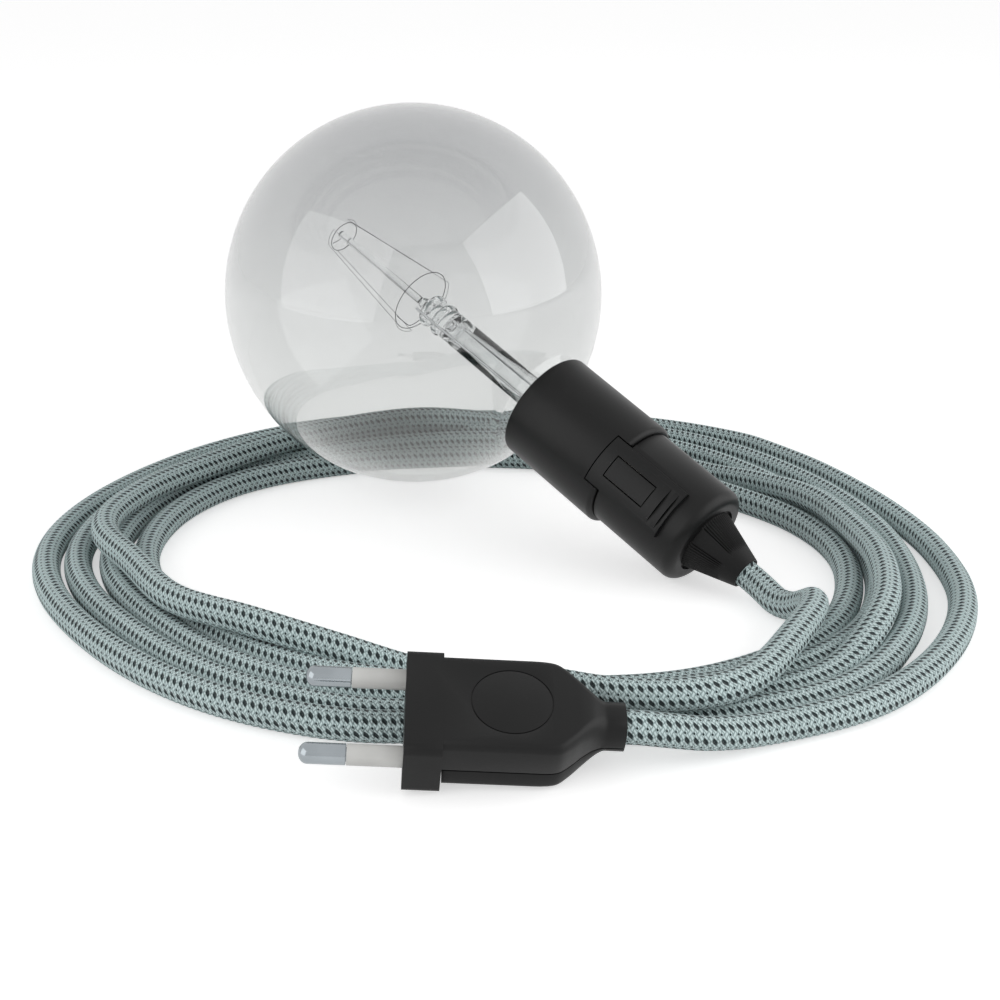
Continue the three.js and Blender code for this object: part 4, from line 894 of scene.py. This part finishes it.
def plug_form():
    """The body and its neck: rounded oblongs one behind the other, eased between the places of the line."""
    table = np.array(BODY_LINE)
    places = np.concatenate([[4, 24], np.arange(24.5, 38.5, 0.35), [PLUG_LENGTH]])
    slopes = np.gradient(table, table[:, 0], axis=0)
    points = []
    for x in places:
        _, half_width, half_height, corner = eased_row(x, table[:, 0], table, slopes)
        points += [(x, y, z) for y, z in rounded_rectangle(2 * half_width, 2 * half_height, corner)]
    return points, joined_rings(len(places), len(points) // len(places))


def plug_hollow():
    """The room inside for the terminals, the clamp and the sheath, and the way out for the cord."""
    half, sheath = BODY_HEIGHT / 2 - 1.7, 2.9
    yield box_points((5, BODY_SHOULDER), (-10, 10), (-half, half))
    yield box_points((BODY_SHOULDER - 1, BODY_SHOULDER + 3.4), (-7.5, 7.5), (-half, half))
    yield box_points((BODY_SHOULDER - 0.6, BODY_NECK - 3), (-3.6, 3.6), (-sheath, sheath))
    yield rod_points(CORD_DIAMETER / 2 + GAP, BODY_NECK - 4, PLUG_LENGTH + 1, 48, turn("Y", 90))


def make_half(name, node, keep, flange):
    """The part of the body inside the box, with the flange or without, hollowed."""
    half_height = BODY_HEIGHT / 2
    points, faces = plug_form()
    half = make_piece(name, points, faces, BLACK_PLASTIC, plug_place)
    use_solid(half, keep, "INTERSECT", plug_place)
    if flange:
        section = rounded_rectangle(FLANGE_WIDTH, FLANGE_HEIGHT, FLANGE_CORNER, (0, half_height - FLANGE_HEIGHT / 2))
        use_solid(half, prism(section, 0, FLANGE_DEPTH, False), "UNION", plug_place)
    for hollow in plug_hollow():
        use_solid(half, hollow, "DIFFERENCE", plug_place)
    return finish_piece(half, node)


def make_plug_body():
    """Two halves with a line between them: the upper has the flange, the pin holes and the plain round groove."""
    far, edge = 30, PART_LINE / 2
    above = box_points((-1, PLUG_LENGTH + 1), (-far, far), (SEAM_HEIGHT + edge, far))
    below = box_points((FLANGE_DEPTH + PART_LINE, PLUG_LENGTH + 1), (-far, far), (-far, SEAM_HEIGHT - edge))
    upper = make_half("plug_top_shell", "plug_upper", above, True)
    lower = make_half("plug_bottom_shell", "plug_lower", below, False)
    for y in (-PIN_SPACING / 2, PIN_SPACING / 2):
        hole = rod_points(PIN_RADIUS + 0.05, -1, 6.4, 40, Matrix.Translation((0, y, 0)) @ turn("Y", 90))
        use_solid(upper, hole, "DIFFERENCE", plug_place)
    top = BODY_HEIGHT / 2
    groove = [(MARK_RADIUS - 0.1, top - 0.22), (MARK_RADIUS + 0.1, top - 0.22),
              (MARK_RADIUS + 0.18, top + 1), (MARK_RADIUS - 0.18, top + 1)]
    ring, ring_faces = lathe(groove, 96)
    use_solid(upper, ([(x + MARK_PLACE, y, z) for x, y, z in ring], ring_faces), "DIFFERENCE", plug_place)
    for half in (upper, lower):
        soften_edges(half, 0.12, 45)


def make_pin(number, side):
    """A round pin, thinner where the sleeve sits, with its terminal block moulded on."""
    across = plug_place @ Matrix.Translation((0, side * PIN_SPACING / 2, 0))
    nose = [(PIN_RADIUS * math.sin(math.radians(a)), -PIN_LENGTH + 1.7 * (1 - math.cos(math.radians(a))))
            for a in range(0, 91, 9)]
    shank = -SLEEVE_LENGTH - 0.1
    outline = [(0, -PIN_LENGTH), *nose[1:], (PIN_RADIUS, shank - 0.1), (PIN_RADIUS - 0.1, shank),
               (PIN_CORE_RADIUS, shank), (PIN_CORE_RADIUS, 6), (0, 6)]
    pin = turned("pin_%d" % number, outline, 64, NICKEL, across @ turn("Y", 90), closed=False)
    middle = -side * 1.6
    use_solid(pin, box_points((5.4, 12.4), (middle - 2, middle + 2), (-2, 2)), "UNION", across)
    wire_hole = rod_points(1.35, 7.4, 13, 20, Matrix.Translation((0, middle, 0)) @ turn("Y", 90))
    use_solid(pin, wire_hole, "DIFFERENCE", across)
    screw_hole = rod_points(1.5, -4, 0, 20, Matrix.Translation((9.4, middle, 0)))
    use_solid(pin, screw_hole, "DIFFERENCE", across)
    smooth(pin)
    finish_piece(pin, "plug_pin_%d" % number)


def make_sleeve(number, side):
    """The milky sleeve over the rear half of the pin."""
    place = plug_place @ Matrix.Translation((0, side * PIN_SPACING / 2, 0)) @ turn("Y", 90)
    bore, end = PIN_CORE_RADIUS + 0.35, 3.4
    outline = rounded([(bore, -SLEEVE_LENGTH), (PIN_RADIUS, -SLEEVE_LENGTH), (PIN_RADIUS, end), (bore, end)], 0.12)
    sleeve = turned("milky_sleeve_%d" % number, outline, 64, SLEEVE, place)
    finish_piece(sleeve, "pin_sleeve_%d" % number)


make_plug_body()
for number, side in ((1, 1), (2, -1)):
    make_pin(number, side)
    make_sleeve(number, side)


# CAD nodes that stay as they are, with their finish

NODE_FINISHES = {
    "lead_wire_1": STEEL, "lead_wire_2": STEEL,
    "bulb_cap_shell": NICKEL, "bulb_cap_bead": BLACK_GLASS, "bulb_cap_button": NICKEL,
    "holder_insert": CERAMIC, "socket_shell": BRASS, "centre_contact": BRASS,
    "holder_terminal_1": BRASS, "holder_terminal_2": BRASS,
    "holder_terminal_screw_1": STEEL, "holder_terminal_screw_2": STEEL,
    "holder_core_1": BROWN_CORE, "holder_core_2": BLUE_CORE,
    "cord_grip_1": BLACK_PLASTIC, "cord_grip_2": BLACK_PLASTIC,
    "cord_grip_screw_1": STEEL, "cord_grip_screw_2": STEEL, "holder_sheath": SHEATH,
    "plug_terminal_screw_1": STEEL, "plug_terminal_screw_2": STEEL,
    "plug_core_1": BROWN_CORE, "plug_core_2": BLUE_CORE,
    "clamp_screw_1": STEEL, "clamp_screw_2": STEEL, "clamp_bar": BRASS,
    "plug_sheath": SHEATH, "housing_screw": STEEL,
}
for node, finish in NODE_FINISHES.items():
    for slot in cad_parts[node].material_slots:
        slot.material = finish


# Floor, lamps and world: a white floor that keeps the shadow, and two soft boxes

FLOOR_GLOW = 0.55
WORLD_LIGHT = 0.5
LAMP_AIM = (-0.02, 0.01, 0.055)


def make_floor():
    material, tree, shader = new_material("white_paper_floor")
    shader.inputs["Base Color"].default_value = grey(0.8)
    shader.inputs["Roughness"].default_value = 0.9
    shader.inputs["Specular IOR Level"].default_value = 0.1
    glow = tree.nodes.new("ShaderNodeEmission")
    tree.links.new(Sums(tree)("MULTIPLY", seen_directly(tree), FLOOR_GLOW), glow.inputs["Strength"])
    total = tree.nodes.new("ShaderNodeAddShader")
    tree.links.new(shader.outputs[0], total.inputs[0])
    tree.links.new(glow.outputs[0], total.inputs[1])
    tree.links.new(total.outputs[0], tree.nodes["Material Output"].inputs["Surface"])
    mesh = bpy.data.meshes.new("floor")
    mesh.from_pydata([(-3, -3, 0), (3, -3, 0), (3, 3, 0), (-3, 3, 0)], [], [(0, 1, 2, 3)])
    mesh.materials.append(material)
    floor = bpy.data.objects.new("floor", mesh)
    bpy.context.scene.collection.objects.link(floor)


def soft_box(name, place, size, power):
    data = bpy.data.lights.new(name, "AREA")
    data.shape = "RECTANGLE"
    data.size, data.size_y = size
    data.energy = power
    lamp = bpy.data.objects.new(name, data)
    lamp.location = place
    lamp.rotation_euler = (Vector(LAMP_AIM) - Vector(place)).to_track_quat("-Z", "Y").to_euler()
    bpy.context.scene.collection.objects.link(lamp)


def make_world():
    """White where it is seen, and dimmer where it lights the object."""
    world = bpy.data.worlds.new("studio")
    world.use_nodes = True
    bpy.context.scene.world = world
    tree = world.node_tree
    background = tree.nodes["Background"]
    background.inputs["Color"].default_value = grey(1)
    strength = Sums(tree)("MULTIPLY_ADD", seen_directly(tree), 1 - WORLD_LIGHT, WORLD_LIGHT)
    tree.links.new(strength, background.inputs["Strength"])


make_floor()
make_world()
soft_box("left_soft_box", (-0.70, -0.56, 0.42), (1.2, 0.9), 3.6)
soft_box("right_soft_box", (0.80, -0.19, 0.40), (1.05, 0.8), 4.0)
